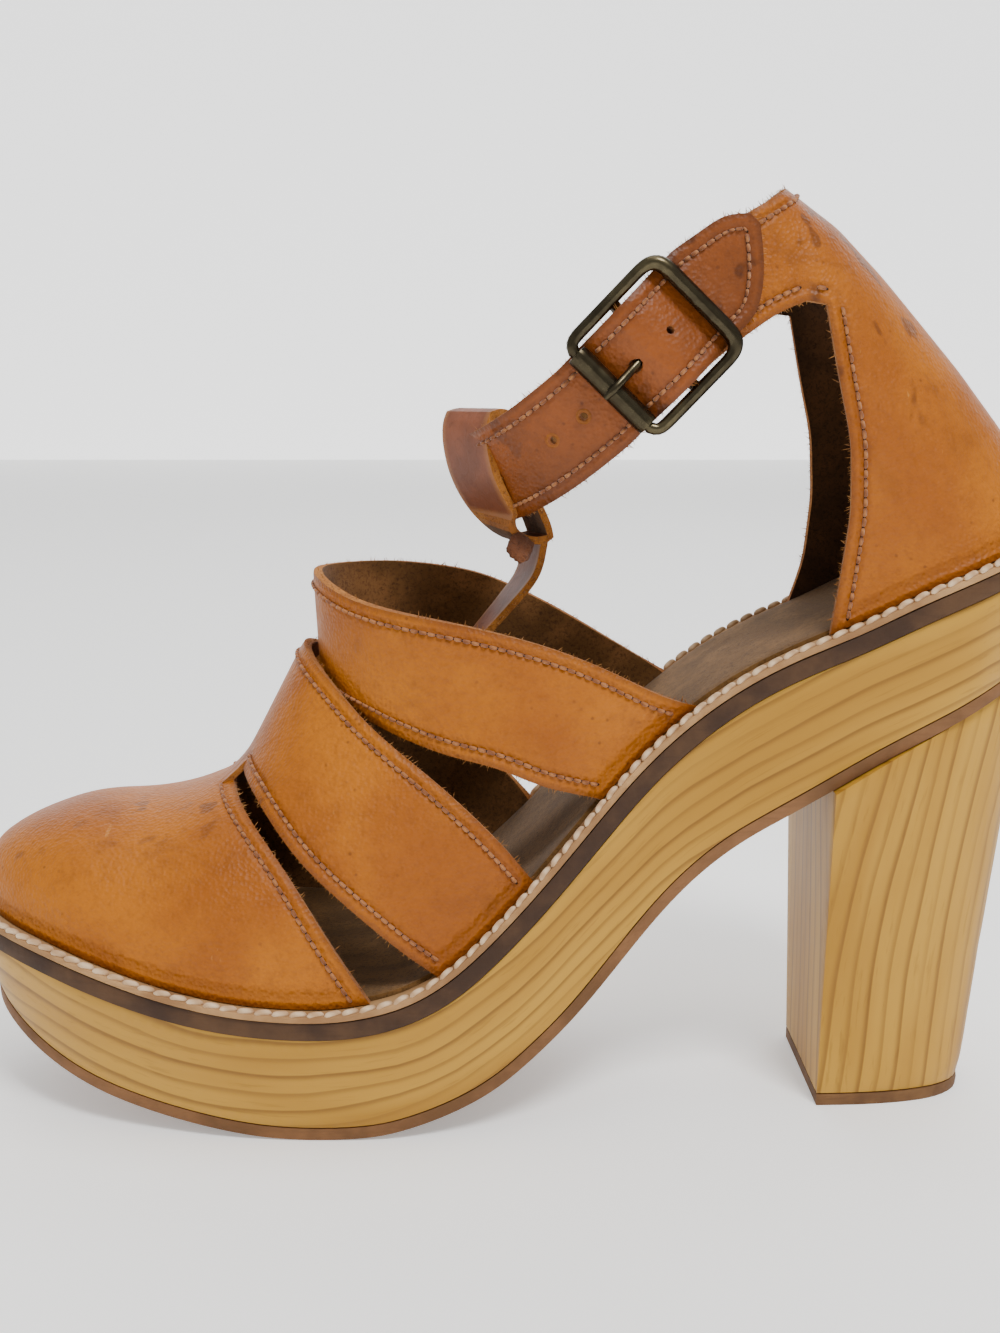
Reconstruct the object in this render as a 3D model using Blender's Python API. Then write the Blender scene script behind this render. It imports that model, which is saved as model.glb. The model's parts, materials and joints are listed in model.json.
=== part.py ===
"""Left wooden-soled sandal with a closed toe, two instep straps and a buckled ankle strap.

Metres, +Z up. The toe points along -X, the heel along +X and the outer side of the
foot, with the buckle, along -Y. The origin is on the floor below the middle of the shoe.
Every height of the upper is measured from the welt below it, so that the straps, the
counter and the ankle strap follow the sole when a size of the sole changes.
"""
import math
from functools import lru_cache

import bmesh
import bpy
import numpy as np

# Overall sizes of the sole
LENGTH = 0.242
BALL_WIDTH = 0.0885
TREAD_SPRING = 0.026      # floor to the outsole at the toe tip
TREAD_LIFT = 0.101        # floor to the outsole at the back of the seat
BALL_THICKNESS = 0.0251   # floor to the top of the wood at the ball
BED_SPRING = 0.0139       # rise of the wood's top from the ball to the toe tip
BED_LIFT = 0.0979         # rise of the wood's top from the ball to the back of the seat
GAP = 0.0003              # clearance between pieces that touch

# Layers of the sole
OUTSOLE_THICKNESS = 0.0025
MIDSOLE_THICKNESS = 0.0036
WELT_THICKNESS = 0.0014
INSOLE_THICKNESS = 0.0022
WOOD_INSET = 0.001
TREAD_INSET = 0.0045
TREAD_TAPER = 0.0040      # the forefoot's tread is this much narrower again on each side
MIDSOLE_INSET = 0.0004
WELT_INSET = 0.0
WELT_WIDTH = 0.0058

# Heel
HEEL_BREAST = 0.791       # share of the length from the toe tip
HEEL_FOOT_LENGTH = 0.0355
HEEL_FOOT_WIDTH = 0.038
HEEL_HEAD_LENGTH = 0.0455
HEEL_HEAD_WIDTH = 0.0555
TOP_LIFT_THICKNESS = 0.0026

# Upper
UPPER_WALL = 0.0019
UPPER_INSET = 0.0036
TOE_HEIGHT = 0.0405
INSTEP_RISE = 0.087
BRIDGE_WIDTH = 0.018
BRIDGE_WALL = 0.0012       # thinner than the straps, so that it runs inside their walls
BRIDGE_ROOTS = (0.028, 0.008)   # shares of the length that it starts before the cap's rear edge
COUNTER_WALL = 0.0019
COLLAR_RISE = 0.070
INNER_WING_SETBACK = 0.002

# Ankle strap and buckle
STRAP_WIDTH = 0.0205
STRAP_WALL = 0.0018
STRAP_TIP_LENGTH = 0.016  # the slanted end, from its upper corner to the full width
HOLE_BORE = 0.0018
HOLE_PITCH = 0.0085
PRONG_HOLE = -0.135       # share of the buckle length from its middle
SPARE_HOLES = (-1.0, 1.75, 2.75)   # pitches from the prong's hole towards the loop
BUCKLE_LENGTH = 0.0272
BUCKLE_SIDE_CLEARANCE = 0.0007
RAIL_THICKNESS = 0.0026
END_BAR_THICKNESS = 0.0034
CENTRE_BAR_THICKNESS = 0.0024
AXLE_THICKNESS = 0.0022
ROLLER_DIAMETER = 0.0046
BUCKLE_SLOPE = 46.0       # degrees from the floor
BUCKLE_CORNER = 0.0031
ROLLER_CORNER = 0.0018    # the tighter corners beside the roller
BAR_DROP = 0.0032         # the centre bar lies this far inside the frame
CHAPE_WALL = 0.0012
CHAPE_LEG = 0.0095
PRONG_THICKNESS = 0.0018
PRONG_OVERHANG = 0.0022
LOOP_WIDTH = 0.0115
LOOP_WALL = 0.0016

TAPER_END = (0.42, 0.66)   # shares of the length between which the taper fades
PROFILE_RUN = 0.012      # the side lines run straight past both ends of the sole
TIP_X = -LENGTH / 2
HEEL_X = LENGTH / 2

# Plan of the sole: share of the length, centre line and half width as shares of the ball width
OUTLINE = (
    # along, centre, half
    (0.000, 0.030, 0.000),
    (0.0207, 0.020, 0.181),
    (0.066, 0.014, 0.311),
    (0.149, 0.006, 0.424),
    (0.314, 0.004, 0.499),
    (0.397, -0.004, 0.492),
    (0.520, -0.012, 0.421),
    (0.665, -0.010, 0.322),
    (0.789, -0.005, 0.330),
    (0.893, 0.000, 0.350),
    (0.9545, 0.000, 0.277),
    (0.9876, 0.000, 0.156),
    (1.000, 0.000, 0.000),
)

# Side view of the tread: share of the length, share of the toe spring, share of the lift
TREAD = (
    # along, spring, lift
    (0.000, 1.000, 0.000),
    (0.041, 0.770, 0.000),
    (0.087, 0.520, 0.000),
    (0.149, 0.292, 0.000),
    (0.202, 0.162, 0.000),
    (0.264, 0.054, 0.000),
    (0.310, 0.000, 0.000),
    (0.372, 0.000, 0.000),
    (0.413, 0.000, 0.018),
    (0.455, 0.000, 0.050),
    (0.500, 0.000, 0.103),
    (0.533, 0.000, 0.172),
    (0.570, 0.000, 0.256),
    (0.603, 0.000, 0.352),
    (0.636, 0.000, 0.450),
    (0.669, 0.000, 0.536),
    (0.713, 0.000, 0.621),
    (0.756, 0.000, 0.680),
    (0.785, 0.000, 0.722),
    (0.839, 0.000, 0.803),
    (0.886, 0.000, 0.865),
    (0.917, 0.000, 0.905),
    (1.000, 0.000, 1.000),
)

# Side view of the wood's top, measured from its height at the ball
BED = (
    # along, spring, lift
    (0.000, 1.000, 0.000),
    (0.050, 0.892, 0.000),
    (0.099, 0.748, 0.000),
    (0.149, 0.518, 0.000),
    (0.198, 0.288, 0.000),
    (0.285, 0.050, 0.000),
    (0.345, 0.000, 0.000),
    (0.413, 0.000, 0.026),
    (0.459, 0.000, 0.075),
    (0.500, 0.000, 0.160),
    (0.541, 0.000, 0.264),
    (0.583, 0.000, 0.382),
    (0.624, 0.000, 0.500),
    (0.665, 0.000, 0.597),
    (0.715, 0.000, 0.690),
    (0.764, 0.000, 0.754),
    (0.814, 0.000, 0.805),
    (0.862, 0.000, 0.867),
    (0.909, 0.000, 0.918),
    (1.000, 0.000, 1.000),
)

# Ridge of the toe cap above the welt, as shares of the toe height
TOE_RIDGE = (
    # along: share of the length from the cap's nose; height
    (0.0000, 0.000),
    (0.0060, 0.250),
    (0.0260, 0.378),
    (0.0650, 0.525),
    (0.1050, 0.640),
    (0.1520, 0.730),
    (0.2000, 0.858),
    (0.2430, 1.000),
    (0.2850, 1.070),
    (0.3350, 1.120),
    (0.3850, 1.150),
)

# Way of the bridge through the crests of the straps
BRIDGE_WAY = (
    # strap; across: share of its width from the toe's side
    (1, 0.12),
    (1, 0.35),
    (1, 0.60),
    (2, 0.25),
    (2, 0.50),
)

# Rear edge of the toe cap around its section, from the sole (0) to the ridge (0.5)
TOE_REAR = (
    # around, along
    (0.000, 0.389),
    (0.043, 0.370),
    (0.130, 0.339),
    (0.216, 0.310),
    (0.290, 0.285),
    (0.390, 0.262),
    (0.500, 0.250),
)

# Edges of the straps, from the outer side over the crest to the inner side of the foot.
# Shares of the length, of the ball width and, above the welt, of the instep rise.
STRAP_1_LOWER = (
    # along, across, up
    (0.447, -0.429, 0.000),
    (0.414, -0.446, 0.113),
    (0.373, -0.435, 0.234),
    (0.333, -0.401, 0.335),
    (0.304, -0.339, 0.415),
    (0.284, -0.254, 0.466),
    (0.269, -0.147, 0.488),
    (0.263, -0.034, 0.498),
    (0.264, 0.079, 0.499),
    (0.275, 0.181, 0.488),
    (0.293, 0.277, 0.457),
    (0.324, 0.373, 0.372),
    (0.366, 0.441, 0.254),
    (0.409, 0.458, 0.132),
    (0.450, 0.435, 0.000),
)
STRAP_1_UPPER = (
    # along, across, up
    (0.529, -0.390, 0.000),
    (0.504, -0.405, 0.165),
    (0.470, -0.395, 0.349),
    (0.442, -0.373, 0.474),
    (0.412, -0.333, 0.570),
    (0.383, -0.277, 0.647),
    (0.355, -0.203, 0.726),
    (0.331, -0.119, 0.785),
    (0.319, -0.023, 0.809),
    (0.320, 0.079, 0.809),
    (0.334, 0.169, 0.781),
    (0.360, 0.254, 0.722),
    (0.390, 0.322, 0.638),
    (0.426, 0.367, 0.535),
    (0.463, 0.390, 0.385),
    (0.502, 0.395, 0.177),
    (0.533, 0.384, 0.000),
)
STRAP_2_LOWER = (
    # along, across, up
    (0.588, -0.356, 0.000),
    (0.535, -0.375, 0.213),
    (0.499, -0.371, 0.363),
    (0.456, -0.339, 0.496),
    (0.414, -0.294, 0.592),
    (0.382, -0.232, 0.646),
    (0.355, -0.153, 0.682),
    (0.338, -0.062, 0.701),
    (0.334, 0.028, 0.706),
    (0.344, 0.119, 0.701),
    (0.368, 0.203, 0.676),
    (0.401, 0.271, 0.624),
    (0.440, 0.322, 0.544),
    (0.481, 0.350, 0.412),
    (0.525, 0.362, 0.254),
    (0.587, 0.350, 0.000),
)
STRAP_2_UPPER = (
    # along, across, up
    (0.670, -0.288, 0.000),
    (0.640, -0.320, 0.092),
    (0.611, -0.333, 0.216),
    (0.569, -0.339, 0.403),
    (0.527, -0.339, 0.576),
    (0.471, -0.328, 0.770),
    (0.415, -0.294, 0.890),
    (0.372, -0.232, 0.940),
    (0.344, -0.153, 0.979),
    (0.331, -0.062, 0.996),
    (0.329, 0.034, 1.001),
    (0.340, 0.124, 1.000),
    (0.364, 0.198, 0.994),
    (0.402, 0.246, 0.971),
    (0.450, 0.280, 0.894),
    (0.483, 0.297, 0.794),
    (0.534, 0.312, 0.582),
    (0.579, 0.320, 0.367),
    (0.612, 0.320, 0.207),
    (0.663, 0.299, 0.000),
)

# Levels of the counter behind the edge of its opening, outer side
COUNTER_LEVELS = (
    # front, back: share of the length; half: share of the ball width;
    # front_up, back_up: share of the collar rise above the welt at the seat
    (0.7820, 0.9850, 0.287, 0.000, 0.000),
    (0.7880, 0.9735, 0.300, -0.155, 0.145),
    (0.7950, 0.9480, 0.312, 0.060, 0.295),
    (0.7925, 0.9090, 0.314, 0.270, 0.466),
    (0.7815, 0.8690, 0.312, 0.437, 0.623),
    (0.7690, 0.8330, 0.305, 0.655, 0.758),
    (0.7500, 0.7930, 0.290, 0.820, 0.894),
    (0.7300, 0.7440, 0.262, 0.965, 1.005),
)
COUNTER_BAND_ROW = 5

# Strap ends that reach forward from the counter, from the buckle's centre bar backwards
COUNTER_ENDS = (
    # low_along, low_up, high_along, high_up, half, drop
    (0.6550, 0.432, 0.5950, 0.640, 0.328, 0.050),
    (0.6800, 0.508, 0.6270, 0.731, 0.328, 0.040),
    (0.7037, 0.572, 0.6590, 0.816, 0.325, 0.025),
    (0.7300, 0.634, 0.6900, 0.883, 0.317, 0.010),
    (0.7530, 0.665, 0.7150, 0.933, 0.300, 0.000),
)

# Ankle-side face of the ankle strap past the buckle, round the front to the inner side
ANKLE_PATH = (
    # along, across, up, lean in degrees
    (0.5390, -0.283, 0.257, 38.0),
    (0.5100, -0.198, 0.188, 32.0),
    (0.4925, -0.096, 0.157, 28.0),
    (0.4868, 0.006, 0.147, 26.0),
    (0.4917, 0.107, 0.145, 27.0),
    (0.5083, 0.203, 0.157, 31.0),
    (0.5390, 0.283, 0.214, 36.0),
    (0.5826, 0.329, 0.343, 41.0),
    (0.6240, 0.3385, 0.478, 43.0),
    (0.6730, 0.3370, 0.636, 43.0),
)
BUCKLE_ALONG = 0.6248
BUCKLE_UP = 0.537

# Height of the strap's ankle-side face over the strap end that it lies on, through the buckle
BUCKLE_ROUTE = (
    # along: share of the buckle length from its middle; rise: share of the dome;
    # shift: share of the strap's width
    (1.140, 0.060, -0.150),
    (0.970, 0.060, -0.110),
    (0.800, 0.070, -0.065),
    (0.660, 0.100, -0.030),
    (0.550, 0.180, 0.000),
    (0.440, 0.300, 0.000),
    (0.350, 0.400, 0.000),
    (0.257, 0.600, 0.000),
    (0.165, 0.810, 0.000),
    (0.090, 0.945, 0.000),
    (0.000, 1.000, 0.000),
    (-0.090, 0.945, 0.000),
    (-0.165, 0.790, 0.000),
    (-0.257, 0.560, 0.000),
    (-0.364, 0.330, 0.000),
    (-0.438, 0.250, 0.000),
    (-0.500, 0.215, 0.000),
    (-0.625, 0.120, 0.000),
)

# Keeper loop round the ankle strap and the tab below it, in the shoe's middle plane.
# Shares of the length from the strap's front and of the collar rise above it.
LOOP_SECTION = (
    # along, up
    (-0.0310, 0.185),
    (-0.0345, 0.120),
    (-0.0290, 0.020),
    (-0.0160, -0.072),
    (0.0040, -0.150),
    (0.0230, -0.192),
    (0.0440, -0.196),
    (0.0460, -0.165),
    (0.0350, -0.085),
    (0.0190, 0.020),
    (0.0030, 0.120),
    (-0.0140, 0.186),
)
LOOP_JOINT = 6
LOOP_ROW = 2              # the row of the ankle strap's path that the loop sits on
LOOP_TURN = 22.0          # degrees that the loop is turned towards the buckle
CREST_CLEARANCE = 0.0012
TAB_END_Y = 0.0015
TAB_END_RISE = 0.0115

# Tab from the loop down into the arch of the second strap
TAB_SECTION = (
    # reach: share of the way to the crest; drop: share of the fall to the tab's end
    (0.010, -0.020),
    (0.040, 0.350),
    (0.140, 0.640),
    (0.240, 0.890),
    (0.400, 1.260),
    (0.620, 1.480),
    (0.850, 1.450),
    (0.970, 1.250),
    (1.000, 0.980),
)

COLOURS = {
    # name: (base colour, roughness, metallic)
    "leather": ((0.53, 0.19, 0.045, 1.0), 0.45, 0.0),
    "loop_leather": ((0.33, 0.13, 0.06, 1.0), 0.45, 0.0),
    "wood": ((0.58, 0.36, 0.13, 1.0), 0.55, 0.0),
    "outsole": ((0.25, 0.12, 0.04, 1.0), 0.7, 0.0),
    "midsole": ((0.08, 0.042, 0.022, 1.0), 0.7, 0.0),
    "welt": ((0.68, 0.5, 0.32, 1.0), 0.6, 0.0),
    "suede": ((0.26, 0.17, 0.09, 1.0), 0.95, 0.0),
    "brass": ((0.16, 0.12, 0.055, 1.0), 0.35, 1.0),
}

STATIONS = 52


def clear_scene():
    """Removes every object, so that the script can run again in one session."""
    for item in list(bpy.data.objects):
        bpy.data.objects.remove(item, do_unlink=True)


def material(name):
    """Returns the named finish, made once."""
    found = bpy.data.materials.get(name)
    if found:
        return found
    colour, roughness, metallic = COLOURS[name]
    made = bpy.data.materials.new(name)
    made.use_nodes = True
    shader = made.node_tree.nodes["Principled BSDF"]
    shader.inputs["Base Color"].default_value = colour
    shader.inputs["Roughness"].default_value = roughness
    shader.inputs["Metallic"].default_value = metallic
    return made


def add_object(name, verts, faces, finish):
    """Adds one closed solid with merged corners and faces that point out."""
    mesh = bpy.data.meshes.new(name)
    mesh.from_pydata([tuple(map(float, point)) for point in verts], [], faces)
    work = bmesh.new()
    work.from_mesh(mesh)
    bmesh.ops.remove_doubles(work, verts=work.verts, dist=2e-6)
    bmesh.ops.dissolve_degenerate(work, dist=1e-6, edges=work.edges)
    bmesh.ops.triangulate(work, faces=work.faces)
    bmesh.ops.recalc_face_normals(work, faces=work.faces)
    if work.calc_volume(signed=True) < 0.0:
        bmesh.ops.reverse_faces(work, faces=work.faces)
    work.to_mesh(mesh)
    work.free()
    mesh.materials.append(material(finish))
    mesh.shade_smooth()
    mesh.set_sharp_from_angle(angle=math.radians(40.0))
    item = bpy.data.objects.new(name, mesh)
    bpy.context.collection.objects.link(item)
    return item


def boolean(target, cutter, operation):
    """Joins or cuts with a hidden helper, as an exact Boolean."""
    step = target.modifiers.new(f"{operation.lower()}_{cutter.name}", "BOOLEAN")
    step.operation = operation
    step.solver = "EXACT"
    step.object = cutter
    cutter.hide_render = True
    cutter.display_type = "WIRE"


def monotone(xs, ys, x):
    """Reads a smooth curve through a table that never overshoots its rows."""
    xs = np.asarray(xs, float)
    ys = np.asarray(ys, float)
    x = np.clip(np.asarray(x, float), xs[0], xs[-1])
    h = np.diff(xs)
    slope = np.diff(ys) / h
    tangent = np.empty_like(ys)
    tangent[1:-1] = 0.0
    same = slope[:-1] * slope[1:] > 0.0
    w1 = 2 * h[1:] + h[:-1]
    w2 = h[1:] + 2 * h[:-1]
    inner = np.zeros_like(slope[1:])
    inner[same] = (w1 + w2)[same] / (w1[same] / slope[:-1][same] + w2[same] / slope[1:][same])
    tangent[1:-1] = inner
    tangent[0] = slope[0]
    tangent[-1] = slope[-1]
    k = np.clip(np.searchsorted(xs, x) - 1, 0, len(h) - 1)
    t = (x - xs[k]) / h[k]
    return ((1 + 2 * t) * (1 - t) ** 2 * ys[k] + t * (1 - t) ** 2 * h[k] * tangent[k]
            + t * t * (3 - 2 * t) * ys[k + 1] + t * t * (t - 1) * h[k] * tangent[k + 1])


def spline(rows, count, closed=False):
    """Spaces points evenly along a Catmull-Rom curve through the rows."""
    rows = np.asarray(rows, float)
    if closed:
        rows = np.vstack([rows[-1], rows, rows[0], rows[1]])
    else:
        rows = np.vstack([2 * rows[0] - rows[1], rows, 2 * rows[-1] - rows[-2]])
    fine = []
    for a, b, c, d in zip(rows[:-3], rows[1:-2], rows[2:-1], rows[3:]):
        t = np.linspace(0.0, 1.0, 12, endpoint=False)[:, None]
        fine.append(0.5 * (2 * b + (c - a) * t + (2 * a - 5 * b + 4 * c - d) * t ** 2
                           + (3 * b - a - 3 * c + d) * t ** 3))
    fine = np.vstack(fine + [rows[-2][None]])
    length = np.concatenate([[0.0], np.cumsum(np.linalg.norm(np.diff(fine[:, :3], axis=0), axis=1))])
    at = np.linspace(0.0, length[-1], count + 1 if closed else count)
    out = np.stack([np.interp(at, length, fine[:, k]) for k in range(fine.shape[1])], axis=1)
    return out[:-1] if closed else out


@lru_cache(maxsize=None)
def outline_sides(inset):
    """Plan of the sole moved inwards: lateral and medial lines as (x, y) from toe to heel."""
    table = np.array(OUTLINE)
    turn = np.linspace(0.0, math.pi, 721)
    share = 0.5 * (1.0 - np.cos(turn))
    half = np.sqrt(np.maximum(monotone(table[:, 0], table[:, 2] ** 2, share), 0.0)) * BALL_WIDTH
    centre = monotone(table[:, 0], table[:, 1], share) * BALL_WIDTH
    x = TIP_X + share * LENGTH
    sides = []
    for side in (-1.0, 1.0):
        y = centre + side * half
        dx = np.gradient(x, turn)
        dy = np.gradient(y, turn)
        dx[0] = dx[-1] = 0.0
        size = np.hypot(dx, dy)
        sides.append((x + side * dy / size * inset, y - side * dx / size * inset))
    start = TIP_X + inset
    end = HEEL_X - inset
    lines = []
    for line_x, line_y in sides:
        keep = (line_x >= start - 1e-9) & (line_x <= end + 1e-9)
        order = np.argsort(line_x[keep])
        lines.append((line_x[keep][order], line_y[keep][order]))
    return lines


def edge_y(x, side, inset):
    """Reads the y of the plan at x, side -1 for the outer and 1 for the inner edge."""
    line_x, line_y = outline_sides(round(inset, 6))[0 if side < 0 else 1]
    return np.interp(x, line_x, line_y)


@lru_cache(maxsize=None)
def profile(kind, offset):
    """Side line of the tread or of the bed, moved along its own normal."""
    table = np.array(TREAD if kind == "tread" else BED)
    share = np.linspace(0.0, 1.0, 601)
    spring = monotone(table[:, 0], table[:, 1], share)
    lift = monotone(table[:, 0], table[:, 2], share)
    if kind == "tread":
        z = spring * TREAD_SPRING + lift * TREAD_LIFT
    else:
        z = BALL_THICKNESS + spring * BED_SPRING + lift * BED_LIFT
    x = TIP_X + share * LENGTH
    z = np.convolve(np.pad(z, 8, mode="reflect", reflect_type="odd"), np.ones(17) / 17.0, "valid") \
        if kind == "bed" else z
    x = np.concatenate([[x[0] - PROFILE_RUN], x, [x[-1] + PROFILE_RUN]])
    rise = (z[1] - z[0], z[-1] - z[-2])
    step = (x[2] - x[1])
    z = np.concatenate([[z[0] - rise[0] / step * PROFILE_RUN], z, [z[-1] + rise[1] / step * PROFILE_RUN]])
    slope = np.gradient(z, x)
    size = np.sqrt(1.0 + slope ** 2)
    return x - slope / size * offset, z + offset / size


def height(kind, offset, x):
    """Height of a layer's face at x."""
    line_x, line_z = profile(kind, round(offset, 6))
    order = np.argsort(line_x)
    return np.interp(x, line_x[order], line_z[order])


WELT_TOP = GAP + MIDSOLE_THICKNESS + GAP + WELT_THICKNESS


def welt_z(x):
    """Height that the upper stands at, just clear of the welt."""
    return height("bed", WELT_TOP + GAP, x)


def loop_points(inset, count=STATIONS):
    """Closed plan loop: down the outer side from toe to heel, and back on the inner side."""
    share = 0.5 * (1.0 - np.cos(np.linspace(0.0, math.pi, count + 1)))
    x = TIP_X + inset + share * (LENGTH - 2 * inset)
    outer = np.stack([x, edge_y(x, -1, inset)], axis=1)
    inner = np.stack([x, edge_y(x, 1, inset)], axis=1)
    middle = (outer[0] + inner[0]) / 2
    outer[0] = inner[0] = middle
    middle = (outer[-1] + inner[-1]) / 2
    outer[-1] = inner[-1] = middle
    return np.vstack([outer, inner[1:-1][::-1]])


def stack_rings(rings):
    """Closes a solid from equal rings, whose ends are capped between their two sides."""
    count = len(rings[0])
    half = count // 2
    verts = np.vstack(rings)
    faces = []
    for k in range(len(rings) - 1):
        for i in range(count):
            j = (i + 1) % count
            faces.append((k * count + i, k * count + j, (k + 1) * count + j, (k + 1) * count + i))
    for base in (0, (len(rings) - 1) * count):
        for i in range(half):
            a, b = i, i + 1
            c, d = (count - a) % count, (count - b) % count
            face = [base + a, base + b, base + d, base + c]
            face = list(dict.fromkeys(face))
            if len(face) > 2:
                faces.append(tuple(face))
    return verts, faces


def taper_share(x):
    """How far the tread's taper holds at x: all of it at the forefoot, none under the arch."""
    share = np.clip(((x - TIP_X) / LENGTH - TAPER_END[0]) / (TAPER_END[1] - TAPER_END[0]), 0.0, 1.0)
    return 1.0 - share * share * (3 - 2 * share)


def sole_layer(name, low, high, finish):
    """A layer between two faces, each an (inset, profile, offset) of the sole."""
    rings = []
    for inset, kind, offset in (low, high):
        plan = loop_points(inset)
        if kind == "tread":
            plan[:, 1] *= 1.0 - TREAD_TAPER / (BALL_WIDTH / 2) * taper_share(plan[:, 0])
        rings.append(np.column_stack([plan, height(kind, offset, plan[:, 0])]))
    verts, faces = stack_rings(rings)
    return add_object(name, verts, faces, finish)


def welt_ring():
    """The welt: a flat ring on the midsole."""
    low = GAP + MIDSOLE_THICKNESS + GAP
    rings = []
    for inset, offset in ((WELT_INSET, low), (WELT_INSET, low + WELT_THICKNESS),
                          (WELT_INSET + WELT_WIDTH, low + WELT_THICKNESS), (WELT_INSET + WELT_WIDTH, low)):
        plan = loop_points(inset)
        rings.append(np.column_stack([plan, height("bed", offset, plan[:, 0])]))
    count = len(rings[0])
    verts = np.vstack(rings)
    faces = []
    for k in range(4):
        for i in range(count):
            j = (i + 1) % count
            m = (k + 1) % 4
            faces.append((k * count + i, k * count + j, m * count + j, m * count + i))
    return add_object("welt", verts, faces, "welt")


def heel_section(breast, length, width, count=14):
    """Plan of the heel: a flat breast and a round back, as a closed loop."""
    turn = np.linspace(0.0, math.pi / 2, count)
    x = breast + length * np.sin(turn) ** 0.9
    y = width / 2 * np.cos(turn) ** 0.62
    y[-1] = 0.0
    front = np.linspace(0.0, 1.0, 4)[:-1]
    outer = np.vstack([np.column_stack([np.full(3, breast), -width / 2 * front]), np.column_stack([x, -y])])
    inner = outer[1:-1][::-1] * np.array([1.0, -1.0])
    return np.vstack([outer, inner])


def heel_level(share):
    """Plan of the heel at a share of its height, narrow at the floor and wide at the seat."""
    flare = share ** 1.1
    length = HEEL_FOOT_LENGTH + (HEEL_HEAD_LENGTH - HEEL_FOOT_LENGTH) * flare
    width = HEEL_FOOT_WIDTH + (HEEL_HEAD_WIDTH - HEEL_FOOT_WIDTH) * flare
    return heel_section(TIP_X + HEEL_BREAST * LENGTH, length, width)


def heel_block():
    """The wooden heel, cut on top to the curve of the outsole that it carries."""
    bottom = TOP_LIFT_THICKNESS + GAP
    rings = []
    for share in (0.0, 0.33, 0.66, 1.0):
        plan = heel_level(share)
        top = height("tread", -GAP, plan[:, 0])
        rings.append(np.column_stack([plan, bottom + (top - bottom) * share]))
    verts, faces = stack_rings(rings)
    return add_object("heel_block", verts, faces, "wood")


def top_lift():
    """The walking piece under the heel."""
    plan = heel_level(0.0)
    rings = [np.column_stack([plan, np.full(len(plan), z)]) for z in (0.0, TOP_LIFT_THICKNESS)]
    verts, faces = stack_rings(rings)
    return add_object("top_lift", verts, faces, "outsole")


def grid_normals(grid):
    """Normals of a grid of points, along its rows crossed with its columns."""
    du = np.gradient(grid, axis=0)
    dv = np.gradient(grid, axis=1)
    normal = np.cross(du, dv)
    size = np.linalg.norm(normal, axis=2, keepdims=True)
    return normal / np.maximum(size, 1e-12)


def walled(grid, other, present):
    """Closes the cells that are present between two grids of points."""
    rows, columns = grid.shape[:2]
    verts = np.vstack([grid.reshape(-1, 3), other.reshape(-1, 3)])
    far = rows * columns
    faces = []
    rim = {}
    for i in range(rows - 1):
        for j in range(columns - 1):
            if not present[i, j]:
                continue
            a = i * columns + j
            quad = (a, a + columns, a + columns + 1, a + 1)
            faces.append(quad)
            faces.append(tuple(far + k for k in reversed(quad)))
            for s, e in zip(quad, quad[1:] + quad[:1]):
                if (e, s) in rim:
                    del rim[(e, s)]
                else:
                    rim[(s, e)] = True
    faces.extend((e, s, far + s, far + e) for s, e in rim)
    used = sorted({k for face in faces for k in face})
    place = {k: n for n, k in enumerate(used)}
    return verts[used], [tuple(place[k] for k in face) for face in faces]


def thick_sheet(grid, offset, present=None, seat_rows=(), seat_columns=()):
    """Walls a grid of points: returns corners and faces of a closed solid.

    The second face lies at a signed offset along the normals. Rows and columns that
    stand on the sole keep to the welt's height on both faces. present marks the cells
    that exist.
    """
    rows, columns = grid.shape[:2]
    other = grid + grid_normals(grid) * offset
    for row in seat_rows:
        other[row, :, 2] = welt_z(other[row, :, 0])
    for column in seat_columns:
        other[:, column, 2] = welt_z(other[:, column, 0])
    if present is None:
        present = np.ones((rows - 1, columns - 1), bool)
    return walled(grid, other, present)


def last_point(x, around):
    """Point of the forefoot's form at x, from the outer base (0) over the top to the inner base (1)."""
    ridge = np.array(TOE_RIDGE)
    share = (x - TIP_X - UPPER_INSET) / LENGTH
    rise = math.sqrt(max(float(monotone(ridge[:, 0], ridge[:, 1] ** 2, share)), 0.0)) * TOE_HEIGHT
    low = float(edge_y(x, -1, UPPER_INSET))
    high = float(edge_y(x, 1, UPPER_INSET))
    angle = math.pi * around
    c, s = math.cos(angle), math.sin(angle)
    power = 2.0 / 2.25
    y = (low + high) / 2 - (high - low) / 2 * math.copysign(abs(c) ** power, c)
    base = float(welt_z(x))
    return (x, y, base + rise * abs(s) ** power)


def toe_cap():
    """The closed toe, from its nose at the welt to its slanted rear edge."""
    rear = np.array(TOE_REAR)
    tip = TIP_X + UPPER_INSET
    lengthwise, across = 18, 20
    grid = np.empty((lengthwise + 1, across + 1, 3))
    for i in range(lengthwise + 1):
        reach = 1.0 - math.cos(i / lengthwise * math.pi / 2)
        for j in range(across + 1):
            around = j / across
            end = TIP_X + LENGTH * float(monotone(rear[:, 0], rear[:, 1], min(around, 1.0 - around)))
            grid[i, j] = last_point(tip + (end - tip) * reach, around)
    normals = grid_normals(grid)
    normals[0, :] = (1.0, 0.0, 0.0)
    flip = -1.0 if normals[lengthwise // 2, across // 2, 2] > 0.0 else 1.0
    normals[1:] *= flip
    inner = grid + normals * UPPER_WALL
    for column in (0, across):
        inner[:, column, 2] = welt_z(inner[:, column, 0])
    inner[0, :, 2] = welt_z(inner[0, :, 0])
    return walled(grid, inner, np.ones((lengthwise, across), bool))


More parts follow.
